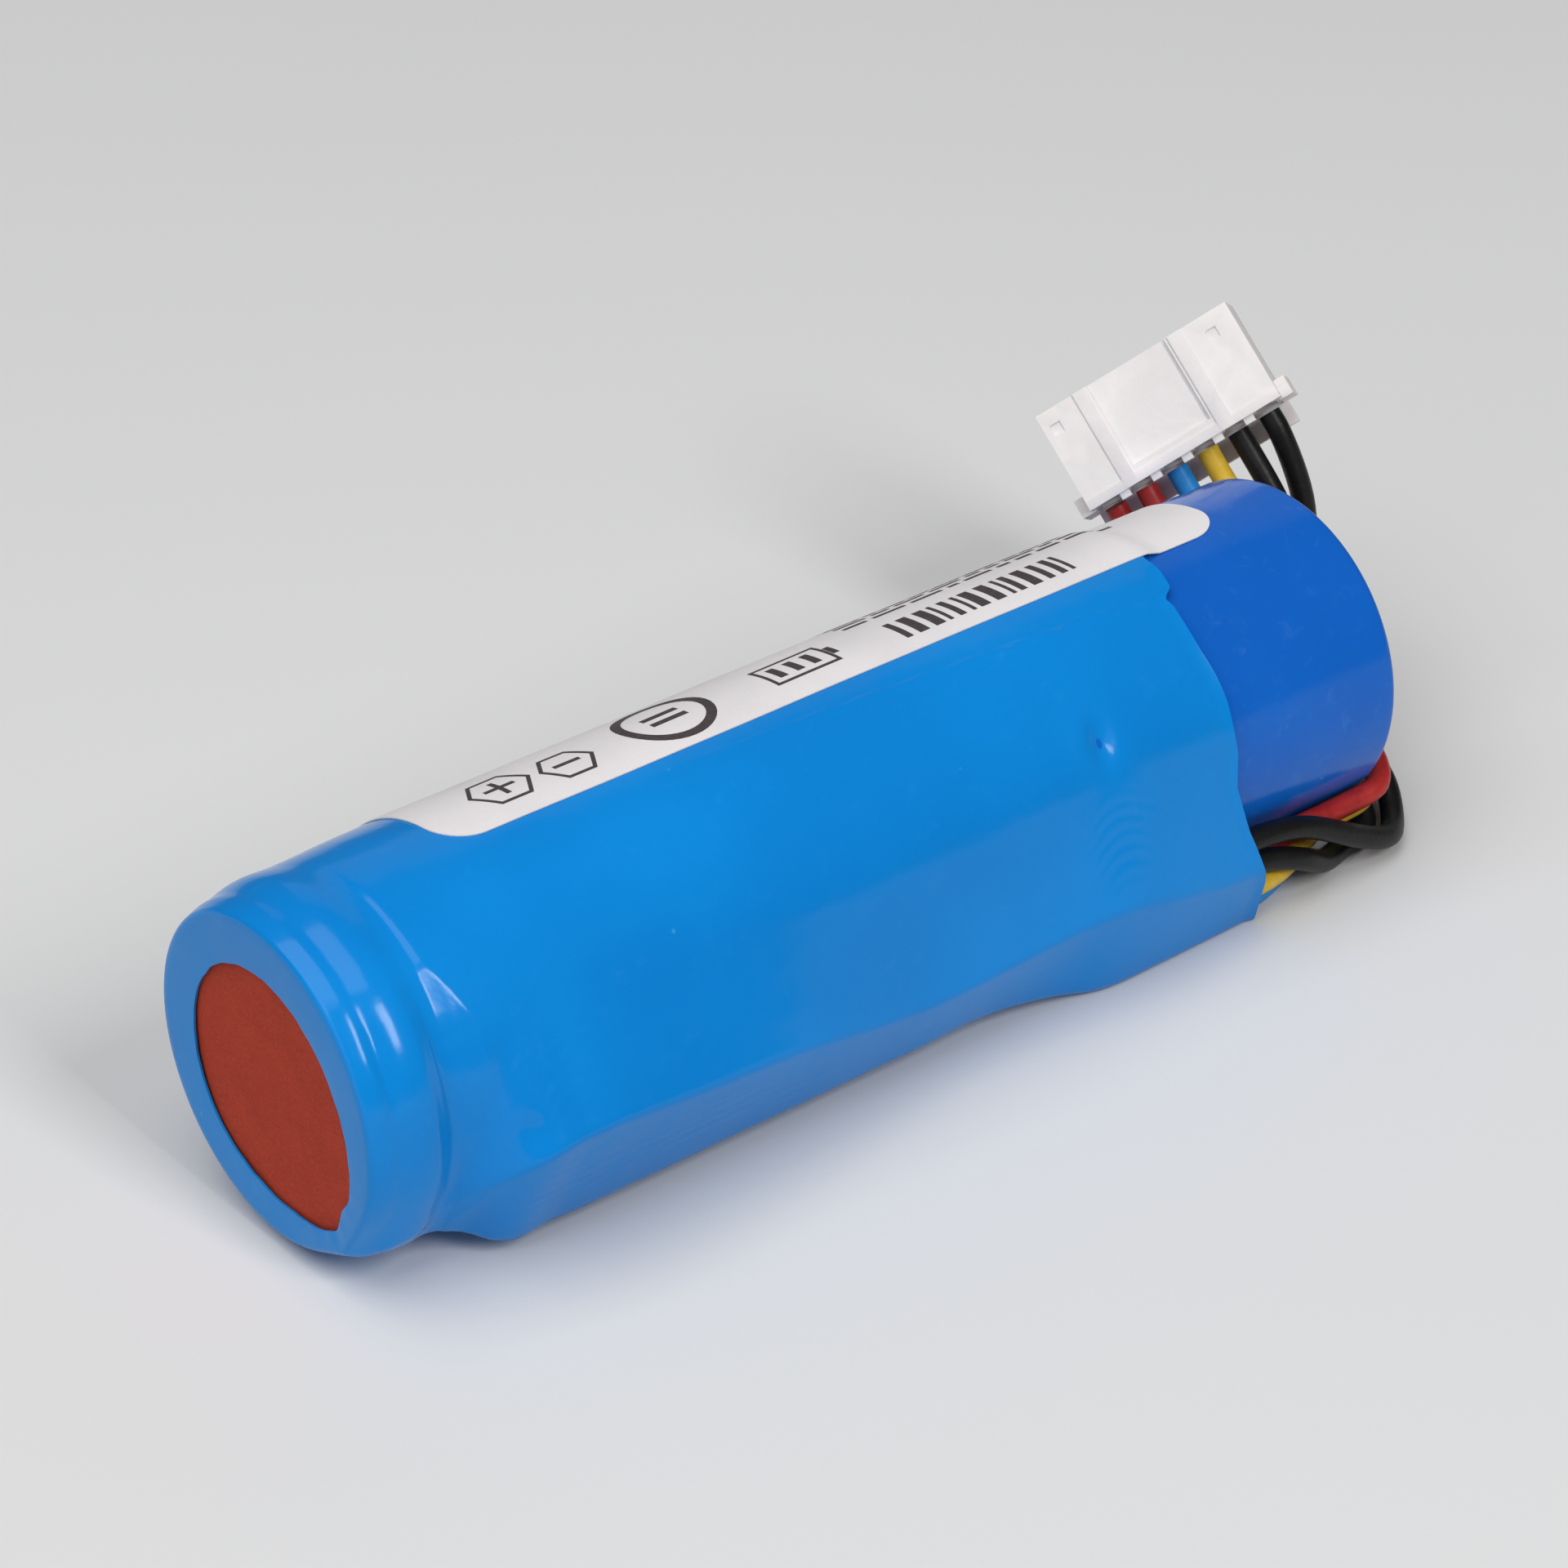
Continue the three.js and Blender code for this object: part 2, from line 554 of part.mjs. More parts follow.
// The six leads, from the board to the plug, in the order in which they enter it.
const LEADS = [
  ['lead_red_1', 'red', [
    [46, -4.9, -8.7], [50, -4.9, -8.7], [54, -4.9, -8.7], [58, -4.9, -8.75], [62, -4.85, -8.8],
    [65.5, -4.8, -8.8], [67.9, -4.5, -8.8], [69.1, -2.8, -8.75], [68.9, -0.6, -8.3], [68.8, 1.8, -6.8],
    [68.6, 4.2, -4.7], [68.4, 6.4, -2.6], [68.1, 8.6, -0.7], [67.3, 10.5, 0.9], [66.4, 11.8, 2.7],
  ]],
  ['lead_red_2', 'red', [
    [46, -7.7, -7.1], [50, -7.7, -7.1], [54, -7.7, -7.1], [57.5, -7.7, -7.05], [60, -8, -6.15],
    [62.5, -8.1, -6], [65, -8.1, -5.95], [67.4, -8.1, -5.6], [68.7, -6, -4.8], [69, -3.4, -3.9],
    [68.8, -0.8, -3], [68.6, 1.7, -2], [68.4, 4.2, -0.8], [68.2, 6.6, 0.5], [67.9, 8.8, 2.1],
    [67.7, 10.8, 3.8],
  ]],
  ['lead_blue', 'blue', [
    [46, -8.3, -8.62], [50, -8.3, -8.62], [54, -8.4, -8.62], [57.5, -8.5, -8.7], [60, -7.7, -8.8],
    [62.5, -6.6, -8.6], [65, -6, -8.2], [67.3, -5.9, -8.1], [69.2, -4.2, -7.3], [70, -1.9, -6.2],
    [70.3, 0.5, -4.3], [70.2, 2.7, -2.1], [69.9, 4.8, 0], [69.6, 6.6, 1.7], [69.2, 9.6, 4.6],
  ]],
  ['lead_yellow', 'yellow', [
    [46, -9.2, -7.3], [50, -9.2, -7.35], [54, -9.25, -7.4], [57.5, -9.2, -7.45], [60, -8.5, -7.7],
    [62.5, -7.5, -7.35], [65, -7.15, -7.15], [67.4, -7, -7], [69, -5.3, -6.2], [70.6, -3.3, -5.1],
    [71, -0.9, -3.3], [71, 1.4, -1.1], [70.9, 3.6, 1], [70.8, 5.7, 3], [70.6, 8.6, 5.6],
  ]],
  ['lead_black_1', 'black', [
    [46, -9.2, -4.2], [50, -9.2, -4.2], [54, -9.3, -4.25], [57.5, -9.4, -4.35], [60, -9.5, -4.8],
    [62.5, -9.6, -6], [65, -9.6, -7.4], [67.3, -9.2, -8.4], [69.1, -7.7, -8.7], [70.5, -5.7, -7.9],
    [71.3, -3.2, -7], [72, -1.2, -5], [72.5, 0.7, -2.8], [72.6, 2.3, -0.4], [72.5, 4, 2],
    [72.3, 5.8, 4.6], [72.1, 7.8, 6.7],
  ]],
  ['lead_black_2', 'black', [
    [46, -9.2, -5.75], [50, -9.2, -5.75], [54, -9.3, -5.8], [57.5, -9.4, -5.9], [60, -9.7, -6.7],
    [62.3, -9.1, -8.1], [64.7, -8, -8.8], [67.3, -7.3, -8.8], [69.3, -5, -8.8], [70.6, -2.6, -8.3],
    [71.4, -0.2, -6.6], [72.2, 2.1, -4.6], [73.2, 4, -2.1], [74.1, 5, 0.9], [74.3, 5.6, 3.9],
    [73.6, 7, 7.7],
  ]],
];

function buildLeads() {
  const stepsPerPoint = 1.8;
  LEADS.forEach(([name, color, route], order) => {
    const points = route.map((corner) => new THREE.Vector3(...corner));
    points.push(inPlug(order * LEAD_PITCH, -0.3, 0));
    const steps = Math.round(points.length * stepsPerPoint);
    piece(name, tube(points, LEAD_DIAMETER, LEAD_SIDES, steps), FINISH[color]);
  });
}

function buildPlug() {
  const edge = (PLUG_LENGTH - 5 * LEAD_PITCH) / 2;
  const half = PLUG_THICK / 2;
  const right = 5 * LEAD_PITCH + edge;
  let body = toSolid(plugBox([-edge, 0, -half], [right, PLUG_DEPTH, half]));
  const wings = plugBox([-edge - PLUG_WING, 0, -half], [right + PLUG_WING, 1.0, half - 1.6]);
  const skirt = plugBox([-edge, -PLUG_SKIRT, -half], [right, 0.5, -half + 0.65]);
  body = body.add(toSolid(wings)).add(toSolid(skirt));
  const panel = plugBox([1.4, 1.6, half - 0.25], [5 * LEAD_PITCH - 1.4, PLUG_DEPTH + 1, half + 1]);
  body = body.subtract(toSolid(panel));
  for (let contact = 0; contact < 6; contact += 1) {
    const middle = contact * LEAD_PITCH;
    const cavity = plugBox([middle - 0.72, -1, -0.9], [middle + 0.72, PLUG_DEPTH + 1, 0.9]);
    body = body.subtract(toSolid(cavity));
    const notch = plugBox([middle - 0.45, -1, 0.5], [middle + 0.45, 0.5, half + 1]);
    body = body.subtract(toSolid(notch));
    const crimp = plugBox([middle - 0.55, 0.2, -0.55], [middle + 0.55, PLUG_DEPTH - 0.4, 0.55]);
    const bore = plugBox([middle - 0.3, 2.4, -0.3], [middle + 0.3, PLUG_DEPTH, 0.3]);
    const terminal = toSolid(crimp).subtract(toSolid(bore));
    piece(`crimp_terminal_${contact + 1}`, toGeometry(terminal), FINISH.tin);
  }
  piece('plug_housing', toGeometry(body), FINISH.plug);
}

buildCell();
buildEnds();
buildBoard();
buildSleeve();
buildLabel();
buildLeads();
buildPlug();

// The origin: the middle of the bottom of everything but the leads and what is on them.
const isOnLead = (name) => name.startsWith('lead_') || name.startsWith('crimp_') || name === 'plug_housing';
const held = new THREE.Box3();
for (const mesh of pack.children) {
  if (!isOnLead(mesh.name)) held.expandByObject(mesh);
}
const middle = held.getCenter(new THREE.Vector3());
pack.position.set(-middle.x, -middle.y, -held.min.z);
pack.updateMatrixWorld(true);

export default pack;
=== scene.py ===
"""Dresses a single-cell lithium-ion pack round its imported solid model.

The pack is a round cell in a dark blue wrap. A protection board is strapped along its side
under a bright blue heat-shrunk sleeve, a white label lies along the top, and six thin leads
run from the board round the far end of the cell to a white plug.

Pieces are laid out in millimetres from the sleeved end of the cell: x runs along the cell,
z is up, and theta turns round the cell's axis from the front (0) over the top (90 degrees).
"""
import sys

import json
import logging
import math
from dataclasses import dataclass, field
from enum import Enum
from typing import Any, Optional, Sequence

import bmesh
import bpy
import numpy as np
from mathutils import Matrix, Vector


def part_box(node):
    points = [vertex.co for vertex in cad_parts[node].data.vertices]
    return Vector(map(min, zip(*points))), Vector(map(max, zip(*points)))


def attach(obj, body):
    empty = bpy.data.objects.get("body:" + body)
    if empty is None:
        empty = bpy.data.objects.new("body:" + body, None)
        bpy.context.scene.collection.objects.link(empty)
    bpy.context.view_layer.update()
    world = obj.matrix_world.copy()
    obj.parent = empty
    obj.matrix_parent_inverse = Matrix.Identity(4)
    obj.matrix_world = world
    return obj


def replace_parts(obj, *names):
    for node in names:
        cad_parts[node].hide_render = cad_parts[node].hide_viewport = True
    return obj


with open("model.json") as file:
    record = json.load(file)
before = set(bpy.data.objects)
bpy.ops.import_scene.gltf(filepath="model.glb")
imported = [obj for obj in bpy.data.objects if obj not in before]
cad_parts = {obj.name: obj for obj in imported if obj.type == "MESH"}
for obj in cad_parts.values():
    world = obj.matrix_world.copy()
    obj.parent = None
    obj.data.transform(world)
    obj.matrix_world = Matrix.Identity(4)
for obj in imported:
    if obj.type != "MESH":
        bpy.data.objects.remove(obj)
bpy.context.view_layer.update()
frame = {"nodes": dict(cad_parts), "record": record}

log = logging.getLogger("cell_pack")

MM = 0.001
BODY = "root"
Colour = tuple[float, float, float, float]
Faces = list[tuple[int, ...]]
Curve = tuple[tuple[float, float], ...]


def placed(name: str, data: Any) -> bpy.types.Object:
    """A new object of the given data, put in the scene."""
    made = bpy.data.objects.new(name, data)
    bpy.context.scene.collection.objects.link(made)
    return made


# ------------------------------------------------------------------ where things are
@dataclass(frozen=True)
class CellFrame:
    """Turns millimetres along and round the cell into places in the shared frame."""

    shift: np.ndarray
    wrap_far_x: float = 67.1

    @classmethod
    def from_wrap(cls) -> "CellFrame":
        """Finds the cell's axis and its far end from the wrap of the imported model."""
        low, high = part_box("cell_wrap")
        middle = (low + high) / 2
        return cls(np.array([high.x / MM - cls.wrap_far_x, middle.y / MM, middle.z / MM]))

    def at(self, points: Any) -> np.ndarray:
        """The places, in metres, of points in millimetres whose last axis holds x, y, z."""
        return (np.asarray(points, float) + self.shift) * MM

    def around(self, x: Any, theta: Any, radius: Any) -> np.ndarray:
        """Places on rays round the axis.

        Args:
            x: Distance along the cell, in millimetres.
            theta: Angle from the front over the top, in radians.
            radius: Distance from the axis, in millimetres.

        Returns:
            An array of places in metres, with one more axis than the arguments.
        """
        x, theta, radius = np.broadcast_arrays(x, theta, radius)
        points = np.stack([x, -radius * np.cos(theta), radius * np.sin(theta)], axis=-1)
        return self.at(points)


# ------------------------------------------------------------------ shader building
class Value:
    """A number that varies over a surface: one node socket, with arithmetic."""

    def __init__(self, recipe: "Recipe", socket: bpy.types.NodeSocket) -> None:
        """Wraps a socket of a recipe's node tree."""
        self.recipe = recipe
        self.socket = socket

    def _with(self, operation: str, first: Any, second: Any) -> "Value":
        """The result of one Math node on two numbers or values."""
        made = self.recipe.node("ShaderNodeMath", {"operation": operation}, {0: first, 1: second})
        return Value(self.recipe, made.outputs[0])

    def __add__(self, other: Any) -> "Value":
        """self + other."""
        return self._with("ADD", self, other)

    def __radd__(self, other: Any) -> "Value":
        """other + self."""
        return self._with("ADD", other, self)

    def __sub__(self, other: Any) -> "Value":
        """self - other."""
        return self._with("SUBTRACT", self, other)

    def __rsub__(self, other: Any) -> "Value":
        """other - self."""
        return self._with("SUBTRACT", other, self)

    def __mul__(self, other: Any) -> "Value":
        """self * other."""
        return self._with("MULTIPLY", self, other)

    def __rmul__(self, other: Any) -> "Value":
        """other * self."""
        return self._with("MULTIPLY", other, self)

    def between(self, low: float, high: float) -> "Value":
        """A smooth step from 0 below low to 1 above high; high may be the lower of the two."""
        made = self.recipe.node(
            "ShaderNodeMapRange",
            {"interpolation_type": "SMOOTHSTEP"},
            {"Value": self, "From Min": low, "From Max": high},
        )
        return Value(self.recipe, made.outputs["Result"])


class Recipe:
    """One material's node tree, built up call by call."""

    def __init__(self, name: str) -> None:
        """Starts a material that holds only its surface shader."""
        self.material = bpy.data.materials.new(name)
        self.material.use_nodes = True
        self.tree = self.material.node_tree
        self.shader = next(n for n in self.tree.nodes if n.type == "BSDF_PRINCIPLED")
        self._spot: dict[tuple[float, ...], bpy.types.NodeSocket] = {}

    def feed(self, socket: bpy.types.NodeSocket, value: Any) -> None:
        """Sets a socket to a plain value, or links it to a value or another socket."""
        if isinstance(value, Value):
            self.tree.links.new(value.socket, socket)
        elif isinstance(value, bpy.types.NodeSocket):
            self.tree.links.new(value, socket)
        else:
            socket.default_value = value

    def node(self, kind: str, settings: dict[str, Any], sockets: dict[Any, Any]) -> bpy.types.Node:
        """Adds any node.

        Args:
            kind: The node's type.
            settings: Its settings, which are set first. The key stops holds a ramp's stops.
            sockets: Values or links of its input sockets, by name or number.

        Returns:
            The node.
        """
        made = self.tree.nodes.new(kind)
        for key, value in settings.items():
            if key == "stops":
                ramp = made.color_ramp.elements
                for _ in range(len(value) - len(ramp)):
                    ramp.new(0.5)
                for element, (position, colour) in zip(ramp, value):
                    element.position = position
                    element.color = colour
            else:
                setattr(made, key, value)
        for key, value in sockets.items():
            self.feed(made.inputs[key], value)
        return made

    def place(self, stretch: Sequence[float] = (1.0, 1.0, 1.0)) -> bpy.types.NodeSocket:
        """The place on the piece in millimetres, each axis scaled by stretch."""
        key = tuple(stretch)
        if key not in self._spot:
            where = self.node("ShaderNodeTexCoord", {}, {}).outputs["Object"]
            factors = tuple(value / MM for value in stretch)
            scaled = self.node(
                "ShaderNodeVectorMath", {"operation": "MULTIPLY"}, {0: where, 1: factors}
            )
            self._spot[key] = scaled.outputs[0]
        return self._spot[key]

    def grain(
        self,
        per_mm: float,
        detail: float = 3.0,
        rough: float = 0.5,
        warp: float = 0.0,
        stretch: Sequence[float] = (1.0, 1.0, 1.0),
    ) -> Value:
        """Cloudy noise from 0 to 1.

        Args:
            per_mm: Number of clouds in a millimetre.
            detail: Octaves of finer noise.
            rough: Weight of the finer octaves.
            warp: How much the noise bends itself.
            stretch: Scale of each axis before the noise is read.

        Returns:
            The noise value.
        """
        made = self.node(
            "ShaderNodeTexNoise",
            {},
            {
                "Vector": self.place(stretch),
                "Scale": per_mm,
                "Detail": detail,
                "Roughness": rough,
                "Distortion": warp,
            },
        )
        return Value(self, made.outputs["Fac"])

    def specks(self, per_mm: float) -> Value:
        """Distance to the nearest of many scattered points, in cells."""
        made = self.node("ShaderNodeTexVoronoi", {}, {"Vector": self.place(), "Scale": per_mm})
        return Value(self, made.outputs["Distance"])

    def blend(self, amount: Any, first: Any, second: Any) -> bpy.types.NodeSocket:
        """A colour between first, at amount 0, and second, at amount 1."""
        made = self.node("ShaderNodeMix", {"data_type": "RGBA"}, {})
        self.feed(made.inputs[0], amount)
        self.feed(made.inputs[6], first)
        self.feed(made.inputs[7], second)
        return made.outputs[2]

    def relief(self, height: Value, deep_mm: float) -> None:
        """Roughens the surface by a height value, deep_mm tall where the height is 1."""
        made = self.node(
            "ShaderNodeBump", {}, {"Strength": 1.0, "Distance": deep_mm * MM, "Height": height}
        )
        self.feed(self.shader.inputs["Normal"], made.outputs["Normal"])

    def coat(self, **values: Any) -> bpy.types.Material:
        """Feeds the surface shader; an underscore in a name stands for a space.

        Args:
            **values: Socket values, such as Base_Color or Roughness.

        Returns:
            The finished material.
        """
        for key, value in values.items():
            self.feed(self.shader.inputs[key.replace("_", " ")], value)
        return self.material


def tint(code: str) -> Colour:
    """The linear colour of a six-digit hexadecimal code."""
    parts = [int(code[at : at + 2], 16) / 255 for at in (0, 2, 4)]
    red, green, blue = (
        part / 12.92 if part <= 0.04045 else ((part + 0.055) / 1.055) ** 2.4 for part in parts
    )
    return (red, green, blue, 1.0)


# ------------------------------------------------------------------ finishes
@dataclass(frozen=True)
class ShrinkFilm:
    """Glossy heat-shrunk vinyl: slow waves, a faint haze, small nicks and rubbed patches."""

    name: str
    face: str
    deep: str
    haze: str
    rough: float = 0.13
    rubbed: float = 0.0

    def made(self) -> bpy.types.Material:
        """Builds the material."""
        mix = Recipe(self.name)
        drift = mix.grain(0.07, 2.0, 0.5)
        mottle = mix.grain(0.9, 4.0, 0.65, 0.6)
        nicks = mix.specks(0.33).between(0.055, 0.02) * mix.grain(0.6, 1.0).between(0.5, 0.62)
        rub = mix.grain(1.6, 5.0, 0.75, 0.4).between(0.55, 0.78)
        rub = rub * mix.grain(0.16, 2.0).between(0.56, 0.7) * self.rubbed
        base = mix.blend(1 - drift.between(0.35, 0.7), tint(self.face), tint(self.deep))
        base = mix.blend(mottle.between(0.55, 0.9) * 0.16, base, tint(self.haze))
        base = mix.blend(nicks * 0.5 + rub * 0.45, base, tint(self.haze))
        rough = self.rough + mottle * 0.05 + rub * 0.3 + nicks * 0.2
        waves = mix.grain(0.24, 2.0, 0.4) * 0.7 + mix.grain(2.2, 2.0, 0.5) * 0.035
        mix.relief(waves + nicks * 0.05, 0.16)
        return mix.coat(Base_Color=base, Roughness=rough, Specular_IOR_Level=0.2)


@dataclass(frozen=True)
class FibrePaper:
    """Pressed fibre paper: matt, mottled, with short pale and dark fibres."""

    name: str
    face: str
    dark: str
    pale: str

    def made(self) -> bpy.types.Material:
        """Builds the material."""
        mix = Recipe(self.name)
        clouds = mix.grain(0.5, 3.0, 0.6)
        pulp = mix.grain(7.0, 4.0, 0.7, 0.5)
        fibres = mix.grain(5.0, 2.0, 0.5, 1.2, (1.0, 0.35, 1.6))
        base = mix.blend(clouds.between(0.2, 0.8) * 0.5 + 0.5, tint(self.dark), tint(self.face))
        base = mix.blend(pulp.between(0.5, 0.7) * 0.5, base, tint(self.pale))
        base = mix.blend(fibres.between(0.54, 0.68) * 0.5, base, tint(self.dark))
        rough = 0.86 + pulp * 0.12
        mix.relief(pulp * 0.6 + fibres * 0.4, 0.035)
        return mix.coat(Base_Color=base, Roughness=rough, Specular_IOR_Level=0.25)


@dataclass(frozen=True)
class LabelStock:
    """White synthetic label stock: satin, faintly grey, with a barely visible tooth."""

    name: str
    face: str
    grey: str

    def made(self) -> bpy.types.Material:
        """Builds the material."""
        mix = Recipe(self.name)
        clouds = mix.grain(0.12, 3.0, 0.55)
        tooth = mix.grain(9.0, 3.0, 0.6)
        base = mix.blend(clouds.between(0.4, 0.75) * 0.5, tint(self.face), tint(self.grey))
        base = mix.blend(tooth.between(0.6, 0.8) * 0.12, base, tint(self.grey))
        mix.relief(tooth + clouds, 0.02)
        return mix.coat(Base_Color=base, Roughness=0.42 + tooth * 0.12, Specular_IOR_Level=0.4)


@dataclass(frozen=True)
class PrintInk:
    """Printed ink: flat, slightly broken where the label's tooth shows through."""

    name: str
    face: str
    worn: str

    def made(self) -> bpy.types.Material:
        """Builds the material."""
        mix = Recipe(self.name)
        patch = mix.grain(4.0, 4.0, 0.7)
        base = mix.blend(patch.between(0.5, 0.8) * 0.5, tint(self.face), tint(self.worn))
        mix.relief(patch, 0.01)
        return mix.coat(Base_Color=base, Roughness=0.5 + patch * 0.15)


@dataclass(frozen=True)
class MouldedPlastic:
    """Injection-moulded plastic: satin, soft clouds from the flow, a fine spark texture."""

    name: str
    face: str
    shade: str
    rough: float = 0.38
    glow: float = 0.0

    def made(self) -> bpy.types.Material:
        """Builds the material."""
        mix = Recipe(self.name)
        flow = mix.grain(0.35, 3.0, 0.55, 0.8)
        spark = mix.grain(14.0, 2.0, 0.5)
        base = mix.blend(flow.between(0.35, 0.75), tint(self.shade), tint(self.face))
        mix.relief(spark * 0.5 + flow * 0.5, 0.02)
        if self.glow:
            mix.coat(Subsurface_Weight=self.glow, Subsurface_Scale=0.6 * MM)
        return mix.coat(Base_Color=base, Roughness=self.rough + spark * 0.12)


@dataclass(frozen=True)
class LeadSkin:
    """Extruded vinyl insulation: glossy, with drag lines along it and dusty spots."""

    name: str
    face: str
    deep: str
    dust: str

    def made(self) -> bpy.types.Material:
        """Builds the material."""
        mix = Recipe(self.name)
        drift = mix.grain(0.5, 3.0, 0.6)
        drag = mix.grain(3.5, 3.0, 0.6, 0.3)
        base = mix.blend(drift.between(0.35, 0.7), tint(self.deep), tint(self.face))
        base = mix.blend(drag.between(0.62, 0.8) * 0.15, base, tint(self.dust))
        mix.relief(drag * 0.6 + drift * 0.4, 0.03)
        return mix.coat(Base_Color=base, Roughness=0.34 + drag * 0.14, Specular_IOR_Level=0.25)


@dataclass(frozen=True)
class PlatedMetal:
    """Drawn or rolled metal: fine rolling lines, faint stains, small changes of shine."""

    name: str
    face: str
    stain: str
    rough: float = 0.28

    def made(self) -> bpy.types.Material:
        """Builds the material."""
        mix = Recipe(self.name)
        lines = mix.grain(5.0, 3.0, 0.6, 0.0, (0.08, 1.6, 1.6))
        cloud = mix.grain(0.4, 3.0, 0.6)
        base = mix.blend(cloud.between(0.5, 0.8) * 0.6, tint(self.face), tint(self.stain))
        mix.relief(lines, 0.012)
        return mix.coat(Base_Color=base, Metallic=1.0, Roughness=self.rough + lines * 0.16)


@dataclass(frozen=True)
class WoundFoil:
    """The electrode roll's coated foil, seen on edge as fine turns of dark and copper."""

    name: str
    coat: str
    copper: str

    def made(self) -> bpy.types.Material:
        """Builds the material."""
        mix = Recipe(self.name)
        turns = mix.grain(4.0, 2.0, 0.6, 0.2, (0.1, 2.0, 2.0))
        dust = mix.grain(6.0, 3.0, 0.7)
        base = mix.blend(turns.between(0.45, 0.6), tint(self.coat), tint(self.copper))
        mix.relief(turns + dust * 0.3, 0.04)
        shine = turns.between(0.5, 0.62)
        return mix.coat(Base_Color=base, Metallic=shine, Roughness=0.5 + dust * 0.2)


@dataclass(frozen=True)
class CircuitBoard:
    """Solder mask over laminate, with the copper tracks raised faintly under it."""

    name: str
    mask: str
    track: str

    def made(self) -> bpy.types.Material:
        """Builds the material."""
        mix = Recipe(self.name)
        tracks = mix.grain(0.9, 0.0, 0.0, 0.0, (1.0, 0.4, 0.4)).between(0.5, 0.52)
        weave = mix.grain(6.0, 2.0, 0.5)
        base = mix.blend(tracks * 0.6, tint(self.mask), tint(self.track))
        base = mix.blend(weave * 0.12, base, tint(self.track))
        mix.relief(tracks + weave * 0.1, 0.03)
        return mix.coat(Base_Color=base, Roughness=0.3 + weave * 0.1)


@dataclass(frozen=True)
class CellFoam:
    """Closed-cell foam tape: soft, dark and pitted, with shade painted darker into its pits."""

    name: str
    face: str
    # The colour of the painted shade in the pits.
    pit_shade: str

    def made(self) -> bpy.types.Material:
        """Builds the material."""
        mix = Recipe(self.name)
        pits_and_shade = mix.specks(3.0)
        # The pits are darkened with painted shade, and the same pattern bumps the surface.
        base = mix.blend(pits_and_shade.between(0.1, 0.5), tint(self.pit_shade), tint(self.face))
        mix.relief(pits_and_shade, 0.08)
        return mix.coat(Base_Color=base, Roughness=0.85 + pits_and_shade * 0.1)


class Finishes:
    """Every finish of the pack, by the name of the record's material slot."""

    def __init__(self) -> None:
        """Builds the materials once, to be shared by the pieces."""
        films = [
            ShrinkFilm("sleeve", "0c84d4", "0b7dcc", "3f9fe2"),
            ShrinkFilm("cell_wrap", "1265c6", "115cba", "6fa8e6", rubbed=1.0),
            LabelStock("label", "e6e2e3", "d6d2d4"),
            PrintInk("ink", "40383a", "776f70"),
            FibrePaper("red_paper", "b03e2a", "983020", "c0563e"),
            FibrePaper("white_paper", "e8e4d8", "d6d0c0", "f4f2ea"),
            MouldedPlastic("plug", "e6e2e1", "dedad9", 0.42, 0.2),
            MouldedPlastic("clear_plastic", "d8dde0", "c9d0d4", 0.3),
            MouldedPlastic("graphite", "3a3d42", "2c2e32", 0.7),
            MouldedPlastic("chip", "232528", "191b1d", 0.45),
            MouldedPlastic("ceramic", "b8a07a", "a08a66", 0.5),
            LeadSkin("lead_red", "b5302e", "9c2422", "d87a74"),
            LeadSkin("lead_blue", "2388d0", "1b78be", "7cbcec"),
            LeadSkin("lead_yellow", "dcb93c", "cca52c", "f0dc8c"),
            LeadSkin("lead_black", "161617", "0f0f10", "4a4a4c"),
            PlatedMetal("steel", "b9bcc0", "8f9296"),
            PlatedMetal("nickel", "c9c6bd", "a19d92", 0.24),
            PlatedMetal("aluminium", "c3c6ca", "a4a8ac", 0.34),
            PlatedMetal("solder", "c4c7c9", "9ea1a3", 0.2),
            PlatedMetal("tin", "cfd0cc", "a9aaa6", 0.25),
            WoundFoil("foil_roll", "2c2a2c", "9a6244"),
            CircuitBoard("board", "1b6b43", "2f8a5a"),
            CellFoam("foam", "2e3033", "1a1b1d"),
        ]
        self.by_slot = {film.name: film.made() for film in films}

    def dress(self, piece: bpy.types.Object, slot: str) -> None:
        """Gives a piece the finish of a slot, in every material slot that it has."""
        material = self.by_slot[slot]
        if not piece.data.materials:
            piece.data.materials.append(material)
        for index in range(len(piece.data.materials)):
            piece.data.materials[index] = material


# ------------------------------------------------------------------ mesh helpers
class Workshop:
    """Makes mesh pieces, lets them ride on the pack and reports them."""

    def __init__(self, finishes: Finishes) -> None:
        """Keeps the finishes that new pieces are dressed in."""
        self.finishes = finishes

    def piece(
        self,
        name: str,
        points: np.ndarray,
        faces: Sequence[Sequence[int]],
        slot: str,
        crease: float,
        stands_for: str = "",
    ) -> bpy.types.Object:
        """Makes one piece from its points and faces.

        Args:
            name: The piece's name.
            points: Its points in metres, one in each row.
            faces: The point numbers of each face, seen from outside.
            slot: The record's material slot that it is dressed from.
            crease: Edges sharper than this many degrees stay sharp.
            stands_for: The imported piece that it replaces, if it replaces one.

        Returns:
            The new object, riding on the pack's body.
        """
        mesh = bpy.data.meshes.new(name)
        mesh.from_pydata([tuple(point) for point in points], [], [tuple(f) for f in faces])
        mesh.validate()
        piece = self.settle(placed(name, mesh), slot, crease)
        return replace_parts(piece, stands_for) if stands_for else piece

    def settle(
        self, piece: bpy.types.Object, slot: str, crease: Optional[float] = None
    ) -> bpy.types.Object:
        """Shades, dresses and mounts a piece that is in place.

        Args:
            piece: The object.
            slot: The record's material slot that it is dressed from.
            crease: Edges sharper than this many degrees stay sharp; None leaves the shading.

        Returns:
            The same object.
        """
        if crease is not None:
            piece.data.shade_smooth()
            piece.data.set_sharp_from_angle(angle=math.radians(crease))
        self.finishes.dress(piece, slot)
        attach(piece, BODY)
        slot in RECORD_SLOTS
        log.info("%s: %s, finish %s", piece.name, piece.type.lower(), slot)
        return piece


RECORD_SLOTS = {material["slot"] for material in frame["record"]["materials"]}


